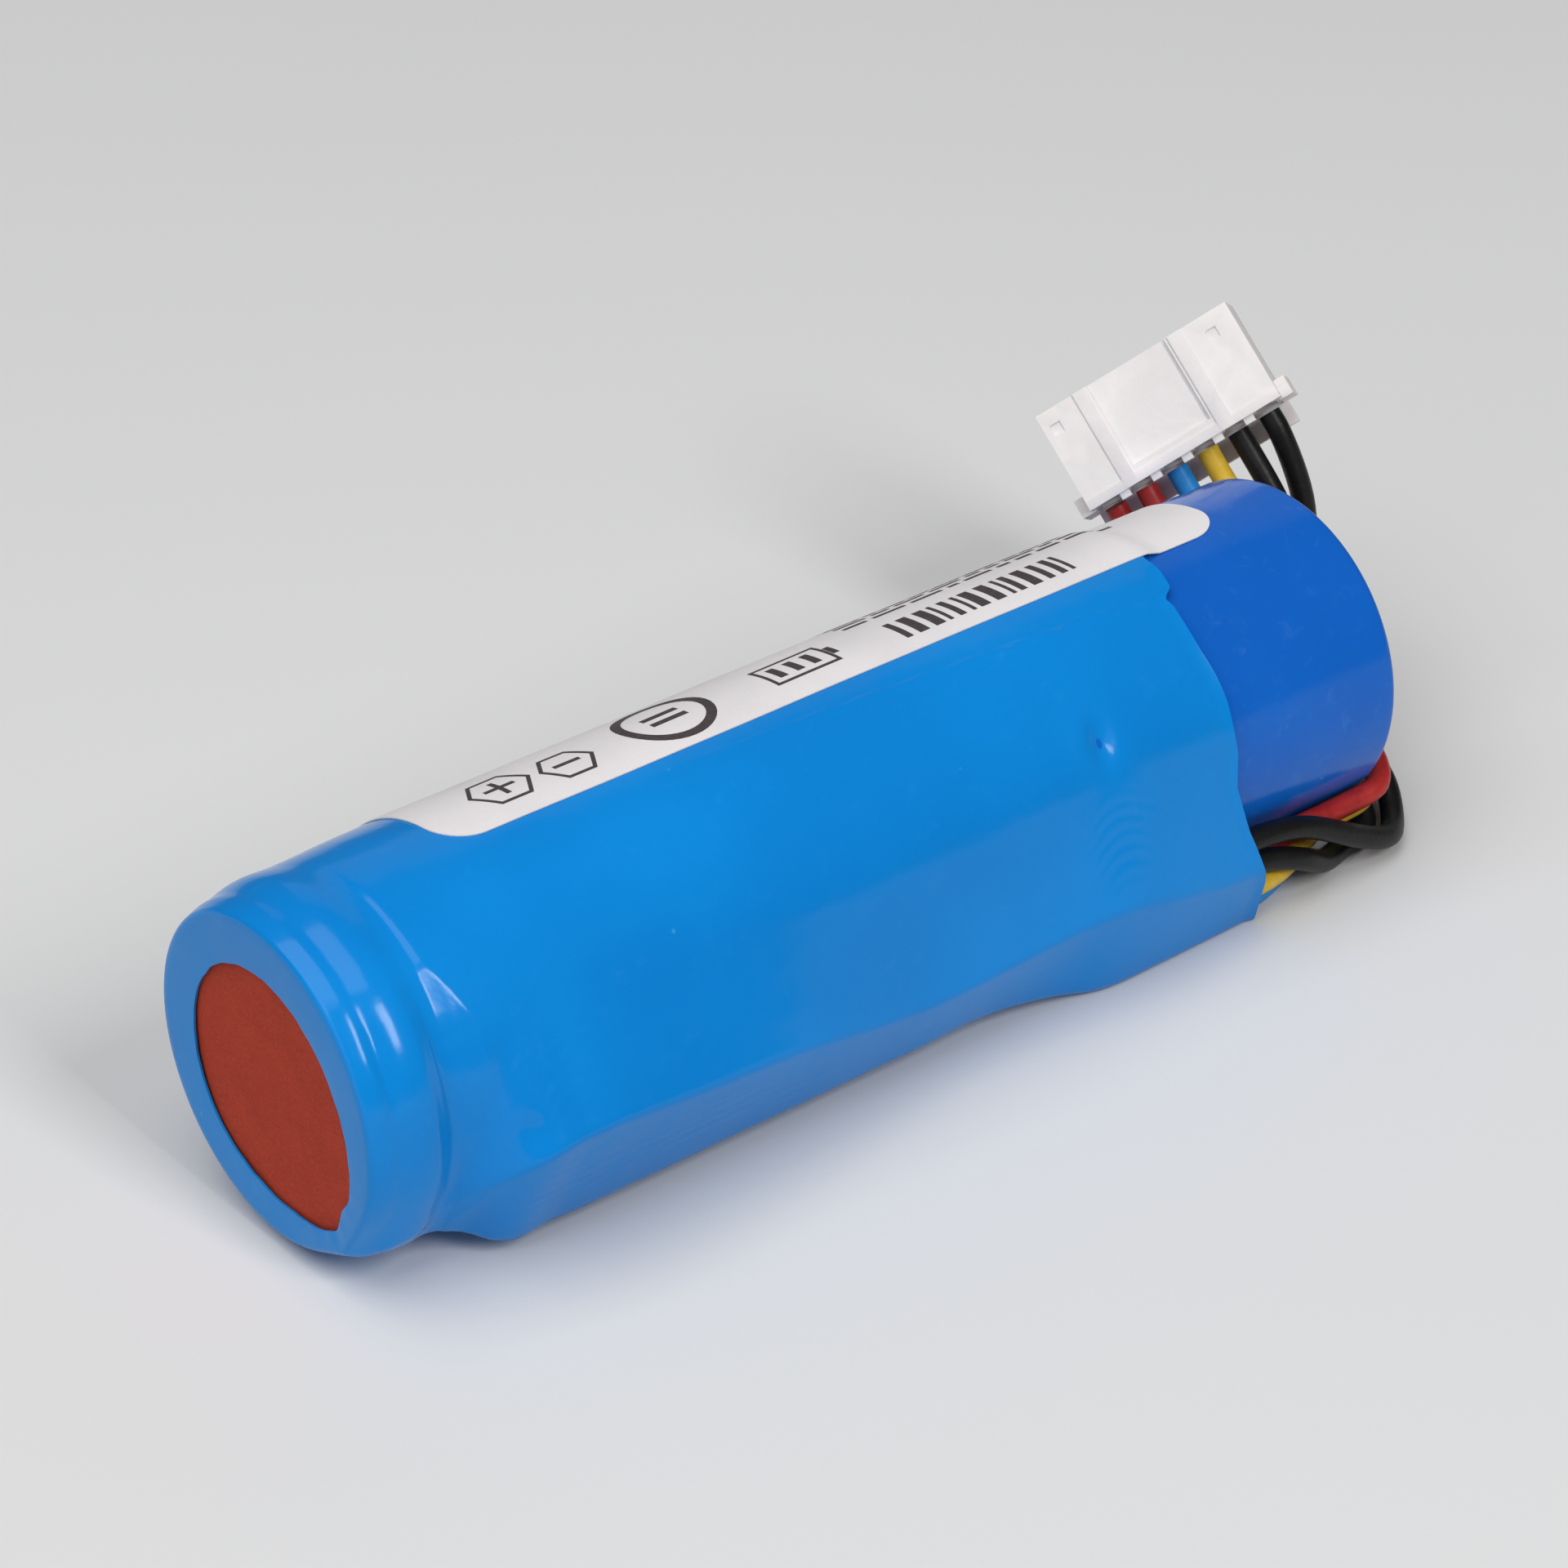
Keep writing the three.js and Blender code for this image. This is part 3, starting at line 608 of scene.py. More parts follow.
def tube_faces(rows: int, columns: int, flip: bool = False, start: int = 0) -> Faces:
    """The faces of a grid of points that closes on itself across its columns.

    Args:
        rows: Number of rows.
        columns: Number of points in a row.
        flip: True turns the faces over.
        start: The number of the grid's first point.

    Returns:
        The faces as point numbers.
    """
    faces = []
    for row in range(rows - 1):
        for column in range(columns):
            a = start + row * columns + column
            b = start + row * columns + (column + 1) % columns
            face = (a, b, b + columns, a + columns)
            faces.append(face[::-1] if flip else face)
    return faces


def sheet_faces(rows: int, columns: int, flip: bool = False, start: int = 0) -> Faces:
    """The faces of an open grid of points; the arguments are those of tube_faces."""
    faces = []
    for row in range(rows - 1):
        for column in range(columns - 1):
            a = start + row * columns + column
            face = (a, a + 1, a + 1 + columns, a + columns)
            faces.append(face[::-1] if flip else face)
    return faces


def film_shell(outer: np.ndarray, inner: np.ndarray) -> tuple[np.ndarray, Faces]:
    """Closes the film between two tubes of points.

    Args:
        outer: Rows of points round the outside.
        inner: Rows of points round the inside, from the same end; the rows may be fewer.

    Returns:
        The points and the faces of one closed shell.
    """
    columns = outer.shape[1]
    points = np.concatenate([outer.reshape(-1, 3), inner.reshape(-1, 3)])
    base = outer.shape[0] * columns
    faces = tube_faces(outer.shape[0], columns)
    faces += tube_faces(inner.shape[0], columns, flip=True, start=base)
    last_out = (outer.shape[0] - 1) * columns
    last_in = base + (inner.shape[0] - 1) * columns
    for column in range(columns):
        after = (column + 1) % columns
        faces.append((base + column, base + after, after, column))
        faces.append((last_out + column, last_out + after, last_in + after, last_in + column))
    return points, faces


def turn_back(columns: int) -> np.ndarray:
    """The angles of a ring of points that starts at the top and turns towards the front."""
    return np.linspace(math.pi / 2, math.pi / 2 - math.tau, columns, endpoint=False)


def bell(value: Any, middle: float, width: float) -> Any:
    """A smooth bump of height 1 at middle that fades over about width."""
    return np.exp(-(((value - middle) / width) ** 2))


def ease(value: Any, low: float, high: float) -> Any:
    """A smooth step from 0 at low to 1 at high."""
    share = np.clip((value - low) / (high - low), 0.0, 1.0)
    return share * share * (3 - 2 * share)


def ripple(first: Any, second: Any, seed: int) -> Any:
    """Seeded slow unevenness over two measures, from about -1 to 1.

    Args:
        first: The first measure.
        second: The second measure.
        seed: Picks the pattern.

    Returns:
        The sum of the waves.
    """
    draw = np.random.default_rng(seed)
    waves = 6
    total = 0.0
    for _ in range(waves):
        along, across = draw.normal(0.0, 1.0, 2)
        total = total + np.sin(first * along + second * across + draw.uniform(0, math.tau))
    return total / math.sqrt(waves)


# ------------------------------------------------------------------ the sleeve
@dataclass
class ShrinkSleeve:
    """The bright blue sleeve, shrunk over the cell, the board and the start of the leads."""

    place: CellFrame
    wall: float = 0.14
    bench: float = -9.5
    tilt: float = math.radians(-26.5)
    columns: int = 300
    # Each row: x; the cell's radius; the two points that hold the film off it, out and up in
    # the board's own directions; and how round the film is where it goes over them.
    stations: tuple[tuple[float, ...], ...] = (
        (0.3, 8.86, 8.3, -3.3, 8.3, -3.3, 0.3),
        (0.95, 9.07, 8.6, -3.1, 8.55, -3.4, 0.35),
        (1.5, 9.16, 8.9, -2.7, 8.65, -3.4, 0.4),
        (2.7, 9.44, 9.15, -2.2, 8.8, -3.46, 0.4),
        (4.7, 9.42, 9.2, -1.2, 8.95, -3.5, 0.3),
        (6.2, 9.46, 9.95, 0.9, 9.5, -3.65, 0.25),
        (7.6, 9.52, 10.75, 2.8, 10.65, -3.8, 0.25),
        (11, 9.56, 10.95, 3.9, 10.95, -3.6, 0.3),
        (16, 9.58, 10.95, 3.4, 11.0, -3.4, 0.4),
        (24, 9.59, 10.95, 2.5, 11.0, -3.4, 0.4),
        (34, 9.6, 11.05, 0.8, 11.0, -3.4, 0.4),
        (39, 9.6, 11.0, 1.1, 10.95, -3.5, 0.42),
        (43, 9.6, 10.9, 1.5, 11.3, -3.7, 0.6),
        (46, 9.6, 10.95, 1.6, 11.8, -3.9, 0.8),
        (50, 9.6, 11.2, 0.9, 11.85, -3.95, 0.85),
        (53, 9.6, 11.3, 0.2, 11.8, -4.0, 0.85),
        (56, 9.6, 11.3, -0.2, 11.75, -4.0, 0.85),
    )
    # The film never sinks below this radius, apart from this much more over the can's groove.
    least: float = 9.22
    least_dip: float = 0.42
    groove_x: float = 5.0
    # Depth of the neck over that groove: theta in degrees, then depth. It ends at neck_end.
    neck: Curve = (
        (-90, 0.1),
        (-60, 0.08),
        (-42, 0.1),
        (-25, 0.33),
        (10, 0.45),
        (30, 0.44),
        (42, 0.28),
        (52, 0.12),
        (75, 0.1),
        (110, 0.1),
        (270, 0.08),
    )
    neck_end: float = 5.1
    ramp: float = 0.25
    softness: float = 0.06
    # The overlapped seam: the mouth's end of it, its angle there and its turn for each mm.
    seam_x: float = 54.5
    seam_degrees: float = 66.9
    seam_turn: float = 0.37
    # Small dents: x, theta in degrees, depth, half length along x, half width in degrees.
    dents: tuple[tuple[float, ...], ...] = (
        (46.5, 31.5, 0.34, 0.75, 7.5),
        (8.2, -3.5, 0.26, 0.6, 4.0),
    )
    # The opening's edge on the end: theta in degrees, then radius.
    lip: Curve = (
        (-180, 6.1),
        (-140, 6.4),
        (-100, 6.5),
        (-75, 6.95),
        (-55, 7.7),
        (-40, 7.75),
        (-25, 7.4),
        (-8, 6.85),
        (20, 6.25),
        (55, 6.0),
        (120, 6.1),
        (180, 6.1),
    )
    # Rings lean from mouth_x on to the mouth's uneven cut: theta in degrees, then x.
    mouth_x: float = 50.0
    mouth: Curve = (
        (-90, 55.6),
        (-60, 56.6),
        (-45, 56.9),
        (-30, 56.3),
        (-14, 55.15),
        (0, 54.6),
        (11, 54.95),
        (27, 54.9),
        (45, 54.6),
        (62, 54.6),
        (65.3, 54.45),
        (68, 55.2),
        (75, 55.5),
        (86, 55.7),
        (120, 55.6),
        (180, 55.3),
        (230, 55.7),
        (270, 55.6),
    )

    def _supports(self, x: np.ndarray) -> list[np.ndarray]:
        """The station values at each x, on smooth curves through the stations."""
        table = np.array(self.stations)
        knots = table[:, 0]
        slopes = np.gradient(table[:, 1:], knots, axis=0)
        x = np.clip(x, knots[0], knots[-1])
        at = np.clip(np.searchsorted(knots, x, side="right") - 1, 0, len(knots) - 2)
        span = knots[at + 1] - knots[at]
        t = ((x - knots[at]) / span)[..., None]
        span = span[..., None]
        value = (
            (2 * t**3 - 3 * t**2 + 1) * table[at, 1:]
            + (t**3 - 2 * t**2 + t) * span * slopes[at]
            + (3 * t**2 - 2 * t**3) * table[at + 1, 1:]
            + (t**3 - t**2) * span * slopes[at + 1]
        )
        return [value[..., column] for column in range(value.shape[-1])]

    def reach(self, x: np.ndarray, theta: np.ndarray) -> np.ndarray:
        """How far the stretched film is from the axis.

        Args:
            x: Distances along the cell.
            theta: Angles round it, of the same shape.

        Returns:
            The radius at each place, before the small creases.
        """
        radius, high_out, high_up, low_out, low_up, bend = self._supports(x)
        least = np.full(x.shape, np.inf)
        for offset in np.linspace(-1.45, 1.45, 181):
            angle = theta - self.tilt + offset
            out, up = np.cos(angle), np.sin(angle)
            high = high_out * out + high_up * up + bend
            low = low_out * out + low_up * up + bend
            held = np.maximum(radius, np.maximum(high, low))
            least = np.minimum(least, held / math.cos(offset))
        return least

    def creased(self, x: np.ndarray, theta: np.ndarray) -> np.ndarray:
        """The film's radius with its neck, tension creases, seam and slow unevenness."""
        radius = self.reach(x, theta)
        degrees = np.degrees((theta + math.pi / 2) % math.tau) - 90
        front = ease(degrees, -75, -40) * ease(degrees, 110, 80)
        # The film sinks into the can's rolled groove and climbs out of it on a straight ramp,
        # and it sinks a little behind the crimped edge.
        deep = np.interp(degrees, *np.array(self.neck).T)
        ramp_end = self.neck_end + deep / self.ramp
        climb = np.clip((ramp_end - x) / (ramp_end - self.neck_end), 0.0, 1.0)
        radius = radius - deep * climb * ease(x, 3.3, 4.7) * front
        radius = radius - (0.02 + 0.15 * bell(degrees, 26, 15)) * bell(x, 1.5, 0.4)
        # The overlapped seam runs back from the mouth just in front of the label.
        seam = self.seam_degrees + (self.seam_x - x) * self.seam_turn
        fade = ease(x, 20, 40)
        ridge = bell(degrees, seam, 0.6) * 0.09 + ease(degrees, seam - 0.4, seam + 0.4) * 0.06
        radius = radius + fade * ridge * ease(degrees, 130, 90)
        # Small dents that catch the light.
        for at_x, at_degrees, sunk, long, wide in self.dents:
            radius = radius - sunk * bell(x, at_x, long) * bell(degrees, at_degrees, wide)
        waves = 0.018 * ripple(x * 0.35, degrees * 0.06, 11) * ease(x, 2, 10)
        # The film never sinks into the cell that it covers.
        least = self.least - self.least_dip * ease(np.abs(x - self.groove_x), 0.95, 0.3)
        least = least - 0.6 * ease(x, 3.0, 0.6)
        spare = radius + waves - least
        return least + (spare + np.sqrt(spare**2 + self.softness**2)) / 2

    def _rows(
        self, theta: np.ndarray, along: Sequence[float], cut: np.ndarray, shares: Sequence[float]
    ) -> tuple[np.ndarray, np.ndarray]:
        """Rows of places on the film: straight rings, then rings that lean to the mouth's cut.

        Args:
            theta: The angles of a ring.
            along: Where the straight rings are.
            cut: Where the mouth's cut is at each angle.
            shares: How far each leaning ring is from the last straight one to the cut.

        Returns:
            The distances along the cell and the angles, each with a row for a ring.
        """
        rows = [np.full_like(theta, x) for x in along]
        rows += [self.mouth_x + (cut - self.mouth_x) * share for share in shares]
        x = np.stack(rows)
        return x, np.broadcast_to(theta, x.shape)

    def _held(self, places: np.ndarray, inward: float) -> np.ndarray:
        """Keeps the film on the bench that the pack rests on."""
        floor = (self.bench + inward + self.place.shift[2]) * MM
        places[..., 2] = np.maximum(places[..., 2], floor)
        return places

    def build(self, shop: Workshop) -> bpy.types.Object:
        """Makes the sleeve and lets it stand for the plain one.

        Args:
            shop: Where the piece is made.

        Returns:
            The sleeve.
        """
        theta = turn_back(self.columns)
        degrees = np.degrees((theta + math.pi / 2) % math.tau) - 90
        cut = np.interp(degrees, *np.array(self.mouth).T)
        cut = cut + 0.05 * ripple(degrees * 0.12, degrees * 0.0, 5)

        spans = ((0.3, 11.0, 0.12), (11.0, 44.0, 0.5), (44.0, 49.0, 0.16), (49.0, 50.0, 0.3))
        along = np.concatenate([np.arange(*span) for span in spans])
        x, angle = self._rows(theta, along, cut, np.linspace(0.0, 1.0, 15))
        radius = self.creased(x, angle)
        radius = radius + 0.13 * ease(x - cut, -0.55, 0.0) * ease(degrees, 83, 76)
        film = self.place.around(x, angle, radius)

        # The flat turned-in ring round the paper disc, with a fold low down at the front.
        side = (degrees + 180) % 360 - 180
        inner_edge = np.interp(side, *np.array(self.lip).T)
        inner_edge = inner_edge - 0.3 * bell(side, -36, 6) + 0.12 * bell(side, -47, 5)
        inner_edge = inner_edge + 0.02 * ripple(degrees * 0.3, degrees * 0.0, 8)
        pucker = bell(side, -45, 22)
        rim = radius[0] - 0.3
        face = []
        for share in np.linspace(0.0, 1.0, 9):
            dish = 0.06 * (1 - share) ** 2
            fold = 0.05 * np.abs(np.sin(degrees * 0.3)) * pucker * (1 - share)
            spot = inner_edge + (rim - inner_edge) * share
            face.append(self.place.around(0.02 + dish + fold, theta, spot))
        for lift, back in ((0.1, 0.035), (0.18, 0.09), (0.25, 0.17)):
            face.append(self.place.around(0.02 + back, theta, rim + lift))
        outer = self._held(np.concatenate([np.stack(face), film]), 0.0)

        inside = (0.45, 0.9, 1.9, 2.8, 4.0, 4.6, 5.2, 6.2, 7.6, 11, 16, 24, 34, 39, 43, 46, 50)
        x, angle = self._rows(theta, inside, cut, (0.5, 0.8, 1.0))
        lining = self.place.around(x, angle, self.creased(x, angle) - self.wall)
        turned_in = [(0.2, inner_edge), (0.24, rim - 0.12)]
        hem = np.stack([self.place.around(back, theta, edge) for back, edge in turned_in])
        inner = self._held(np.concatenate([hem, lining]), self.wall)
        points, faces = film_shell(outer, inner)
        return shop.piece("shrink_sleeve_film", points, faces, "sleeve", 50, "shrink_sleeve")


# ------------------------------------------------------------------ the cell's own wrap
@dataclass
class CellWrap:
    """The dark blue wrap of the cell itself, turned in over both ends."""

    place: CellFrame
    radius: float = 9.3
    wall: float = 0.14
    corner: float = 0.5
    columns: int = 240

    def sunk(self, x: float) -> float:
        """The wrap's radius where it sinks into the can's groove."""
        return self.radius - 0.22 - 0.5 * math.exp(-(((x - 4.9) / 1.0) ** 2))

    def build(self, shop: Workshop) -> bpy.types.Object:
        """Makes the wrap and lets it stand for the plain one.

        Args:
            shop: Where the piece is made.

        Returns:
            The wrap.
        """
        theta = turn_back(self.columns)
        degrees = np.degrees(theta)
        far = self.place.wrap_far_x
        profile = [(1.28, 7.4), (1.28, 8.5), (1.45, 8.8), (1.8, 9.1), (2.2, 9.25)]
        profile += [(x, self.sunk(x)) for x in np.arange(2.8, 7.6, 0.3)]
        profile += [(9, 9.16)] + [(x, self.radius) for x in (12, 20, 30, 40, 48)]
        profile += [(x, self.radius) for x in np.arange(50, 66.2, 0.6)]
        for turn in np.linspace(0.0, math.pi / 2, 7):
            along, out = math.sin(turn) - 1, math.cos(turn) - 1
            profile.append((far + self.corner * along, self.radius + self.corner * out))
        profile += [(far, 8.5), (far, 8.2), (far - 0.02, 7.9), (far - 0.05, 7.6)]
        rows = []
        for x, radius in profile:
            loose = ease(x, 50, 60) * ease(x, far + 0.2, far - 0.6)
            waver = 0.012 * ripple(x * 0.5, degrees * 0.05, 21) * loose
            pleat = 0.03 * np.sin(degrees * 0.42 + 2 * np.sin(degrees * 0.07))
            pleat = pleat * ease(8.9 - radius, 0.0, 0.9)
            shift = np.minimum(pleat, 0.0) if x > 60 else 0.0
            rows.append(self.place.around(x + shift, theta, radius + waver))
        outer = np.stack(rows)
        lining = [(1.42, 7.4), (1.42, 8.4), (2.1, 9.05)]
        lining += [(x, self.sunk(x) - self.wall) for x in np.arange(2.8, 7.6, 0.4)]
        lining += [(x, 9.16) for x in (8, 30, 52, 66.4)]
        lining += [(66.8, 8.95), (66.94, 8.6), (66.9, 7.6)]
        inner = np.stack([self.place.around(x, theta, radius) for x, radius in lining])
        points, faces = film_shell(outer, inner)
        return shop.piece("cell_wrap_film", points, faces, "cell_wrap", 50, "cell_wrap")


# ------------------------------------------------------------------ paper discs
@dataclass
class PaperDisc:
    """A punched fibre-paper disc that covers an end of the cell."""

    place: CellFrame
    name: str
    stands_for: str
    face_x: float
    back_x: float
    radius: float = 8.2
    hub: float = 0.4
    columns: int = 160
    slot: str = "red_paper"

    def build(self, shop: Workshop) -> bpy.types.Object:
        """Makes the disc with its slightly dished, soft-edged face.

        Args:
            shop: Where the piece is made.

        Returns:
            The disc.
        """
        columns = self.columns
        theta = np.linspace(0, math.tau, columns, endpoint=False)
        outward = -1.0 if self.face_x < self.back_x else 1.0
        rows = []
        for radius in np.linspace(self.hub, self.radius - 0.12, 22):
            swell = 0.03 * ripple(radius * 0.5 * np.cos(theta), radius * 0.5 * np.sin(theta), 31)
            x = self.face_x - outward * (0.03 + swell)
            rows.append(self.place.around(x, theta, radius))
        for x, radius in (
            (self.face_x - outward * 0.07, self.radius - 0.02),
            (self.face_x - outward * 0.12, self.radius),
            (self.back_x, self.radius),
            (self.back_x, self.hub),
        ):
            rows.append(self.place.around(x, theta, radius))
        grid = np.stack(rows)
        points = grid.reshape(-1, 3)
        faces = tube_faces(grid.shape[0], columns, flip=outward < 0)
        front = tuple(range(columns))
        back = tuple((grid.shape[0] - 1) * columns + column for column in range(columns))
        faces.append(front if outward < 0 else front[::-1])
        faces.append(back[::-1] if outward < 0 else back)
        return shop.piece(self.name, points, faces, self.slot, 50, self.stands_for)


# ------------------------------------------------------------------ the label
@dataclass
class Label:
    """The white label over the top, half on the sleeve and half on the cell's wrap."""

    place: CellFrame
    sleeve: ShrinkSleeve
    start: float = 10.7
    end: float = 61.8
    front: float = 84.0
    back: float = 216.0
    corner: float = 2.2
    thick: float = 0.07
    columns: int = 90
    # Where it lies: just off the sleeve, then at this radius on the cell's own wrap.
    off_sleeve: float = 0.02
    on_wrap: float = 9.34
    # The radius at which its width and its printed marks are measured.
    cut_radius: float = 9.6
    print_radius: float = 9.67

    def surface(self, x: Any, theta: Any) -> np.ndarray:
        """The radius that the label lies at: on the sleeve, then on the cell's wrap."""
        x, theta = np.broadcast_arrays(np.asarray(x, float), np.asarray(theta, float))
        degrees = np.degrees(theta)
        cut = np.interp(degrees, *np.array(self.sleeve.mouth).T)
        on_sleeve = self.sleeve.creased(x, theta) + self.off_sleeve
        return on_sleeve + (self.on_wrap - on_sleeve) * ease(x - cut, 0.15, 1.5)

    def build(self, shop: Workshop) -> bpy.types.Object:
        """Makes the label and lets it stand for the plain one.

        Args:
            shop: Where the piece is made.

        Returns:
            The label.
        """
        ends = self.corner * (1 - np.cos(np.linspace(0, math.pi / 2, 12)))
        middle = np.arange(self.start + self.corner + 0.4, self.end - self.corner - 0.2, 0.45)
        x_rows = np.concatenate([self.start + ends, middle, (self.end - ends)[::-1]])
        columns = self.columns
        share = np.linspace(0, 1, columns)
        outer, inner = [], []
        for x in x_rows:
            inset = max(0.0, self.corner - min(x - self.start, self.end - x))
            cut = self.corner - math.sqrt(max(0.0, self.corner**2 - inset**2))
            margin = math.degrees(cut / self.cut_radius)
            degrees = self.front + margin + (self.back - self.front - 2 * margin) * share
            theta = np.radians(degrees)
            base = self.surface(np.full_like(theta, x), theta)
            outer.append(self.place.around(x, theta, base + self.thick))
            inner.append(self.place.around(x, theta, base))
        outer, inner = np.stack(outer), np.stack(inner)
        rows = len(x_rows)
        points = np.concatenate([outer.reshape(-1, 3), inner.reshape(-1, 3)])
        base = rows * columns
        faces = sheet_faces(rows, columns, flip=True) + sheet_faces(rows, columns, start=base)
        for row in range(rows - 1):
            first, last = row * columns, row * columns + columns - 1
            faces.append((first, first + columns, base + first + columns, base + first))
            faces.append((last, base + last, base + last + columns, last + columns))
        for column in range(columns - 1):
            top = (rows - 1) * columns + column
            faces.append((column, base + column, base + column + 1, column + 1))
            faces.append((top, top + 1, base + top + 1, base + top))
        return shop.piece("label_sheet", points, faces, "label", 40, "label")


# ------------------------------------------------------------------ printed marks
@dataclass
class LabelMarks:
    """Plain printed marks on the label: shapes, bars and rules, with no lettering."""

    label: Label
    ink: float = 0.012
    root: float = -0.03
    step: float = 0.35
    points: list[tuple[float, float, float]] = field(default_factory=list)
    faces: list[tuple[int, ...]] = field(default_factory=list)

    def _lift(self, flat: np.ndarray, radius_lift: float) -> np.ndarray:
        """Lays flat label places, x and the width from its front edge, on its surface."""
        theta = np.radians(self.label.front + np.degrees(flat[:, 1] / self.label.print_radius))
        base = self.label.surface(flat[:, 0], theta) + self.label.thick
        return self.label.place.around(flat[:, 0], theta, base + radius_lift)

    def line(self, corners: Sequence[Sequence[float]], width: float, closed: bool = False) -> None:
        """Draws a line of even width along corners given as x and width on the label.

        Args:
            corners: The line's corners.
            width: Its width in millimetres.
            closed: True joins the last corner to the first.
        """
        corners = [np.array(corner, float) for corner in corners]
        if closed:
            corners.append(corners[0])
        steps_made = []
        for here, there in zip(corners, corners[1:]):
            steps = max(1, int(np.linalg.norm(there - here) / self.step))
            steps_made += [here + (there - here) * step / steps for step in range(steps)]
        if not closed:
            steps_made.append(corners[-1])
        trail = np.array(steps_made)
        into, out = trail - np.roll(trail, 1, axis=0), np.roll(trail, -1, axis=0) - trail
        if not closed:
            into[0], out[-1] = out[0], into[-1]
        into /= np.linalg.norm(into, axis=1, keepdims=True)
        out /= np.linalg.norm(out, axis=1, keepdims=True)
        mean = into + out
        mean /= np.maximum(np.linalg.norm(mean, axis=1, keepdims=True), 1e-6)
        side = np.stack([-mean[:, 1], mean[:, 0]], axis=1)
        square = np.stack([-into[:, 1], into[:, 0]], axis=1)
        stretch = 1 / np.maximum(np.sum(side * square, axis=1, keepdims=True), 0.5)
        edge = side * stretch * width / 2
        self._ribbon(trail + edge, trail - edge, closed)

    def _ribbon(self, left: np.ndarray, right: np.ndarray, closed: bool) -> None:
        """Adds a closed strip of ink between two edges, from inside the label to its top."""
        start = len(self.points)
        layers = [self._lift(left, self.ink), self._lift(right, self.ink)]
        layers += [self._lift(right, self.root), self._lift(left, self.root)]
        count = len(left)
        for step in range(count):
            self.points += [tuple(layer[step]) for layer in layers]
        spans = count if closed else count - 1
        for step in range(spans):
            a = start + step * 4
            b = start + ((step + 1) % count) * 4
            for edge in range(4):
                after = (edge + 1) % 4
                self.faces.append((a + edge, a + after, b + after, b + edge))
        if not closed:
            last = start + (count - 1) * 4
            self.faces.append((start + 3, start + 2, start + 1, start))
            self.faces.append((last, last + 1, last + 2, last + 3))

    def ring(self, x: float, wide: float, radius: float, width: float, sides: int = 40) -> None:
        """Draws a ring, or a polygon with few sides, round a place on the label."""
        turns = [math.tau * side / sides for side in range(sides)]
        self.line(
            [(x + radius * math.cos(turn), wide + radius * math.sin(turn)) for turn in turns],
            width,
            closed=True,
        )

    def build(self, shop: Workshop) -> bpy.types.Object:
        """Draws every mark and makes them one piece.

        Args:
            shop: Where the piece is made.

        Returns:
            The marks.
        """
        # A plus in a hexagon beside a minus in a hexagon.
        self.ring(15.8, 3.0, 1.75, 0.22, 6)
        self.line([(14.9, 3.0), (16.7, 3.0)], 0.3)
        self.line([(15.8, 2.1), (15.8, 3.9)], 0.3)
        self.ring(19.7, 2.7, 1.55, 0.22, 6)
        self.line([(18.9, 2.7), (20.5, 2.7)], 0.3)
        # A bold ring round a pair of bars.
        self.ring(26.2, 3.3, 2.45, 0.55)
        self.line([(25.1, 3.7), (27.3, 3.7)], 0.42)
        self.line([(25.1, 2.8), (27.3, 2.8)], 0.42)
        # A small outline of a cell with its button and charge bars.
        self.line([(32.4, 1.7), (36.4, 1.7), (36.4, 4.1), (32.4, 4.1)], 0.22, closed=True)
        self.line([(36.75, 2.4), (36.75, 3.4)], 0.4)
        for bar in range(3):
            self.line([(33.2 + bar * 1.1, 2.2), (33.2 + bar * 1.1, 3.6)], 0.5)
        # A bar row in place of a date, then rules in place of small print.
        draw = np.random.default_rng(41)
        x = 40.4
        while x < 51.9:
            width = float(draw.choice([0.25, 0.42, 0.65]))
            self.line([(x + width / 2, 1.1), (x + width / 2, 3.2)], width)
            x += width + float(draw.choice([0.3, 0.45]))
        for row, wide in enumerate((4.9, 5.75, 6.6, 7.45)):
            x = 39.2
            while x < 57.5 - row:
                length = float(draw.uniform(0.6, 2.2))
                self.line([(x, wide), (min(x + length, 58.0), wide)], 0.34)
                x += length + 0.45
        for row in range(9):
            x = 13.6
            wide = 9.4 + row * 1.25
            stop = 58.5 - 9 * ((row * 5) % 3)
            while x < stop:
                length = float(draw.uniform(1.2, 4.6))
                self.line([(x, wide), (min(x + length, stop + 0.8), wide)], 0.42)
                x += length + 0.7
        self.line([(12.9, 8.5), (59.7, 8.5), (59.7, 20.6), (12.9, 20.6)], 0.18, closed=True)
        return shop.piece("label_marks", np.array(self.points), self.faces, "ink", 30)


# ------------------------------------------------------------------ the leads
class LeadColour(Enum):
    """The colours of the insulation, by their material slots."""

    RED = "lead_red"
    BLUE = "lead_blue"
    YELLOW = "lead_yellow"
    BLACK = "lead_black"


@dataclass(frozen=True)
class PlugFrame:
    """The plug's own directions: along its contacts, into its mating end, out of its face."""

    place: CellFrame
    origin: tuple[float, float, float] = (66.2, 12.5, 3.6)
    along: tuple[float, float, float] = (0.724, -0.446, 0.526)
    mating: tuple[float, float, float] = (-0.065, 0.715, 0.695)
    pitch: float = 2.0

    def turn(self) -> np.ndarray:
        """The three directions as the rows of a matrix."""
        along = np.array(self.along) / np.linalg.norm(self.along)
        mating = np.array(self.mating) / np.linalg.norm(self.mating)
        face = np.cross(along, mating)
        return np.stack([along, mating, face])

    def raw(self, points: Any) -> np.ndarray:
        """Points of the plug's frame in millimetres along and round the cell."""
        return np.array(self.origin) + np.asarray(points, float) @ self.turn()

    def at(self, points: Any) -> np.ndarray:
        """Points of the plug's frame as places in metres."""
        return self.place.at(self.raw(points))


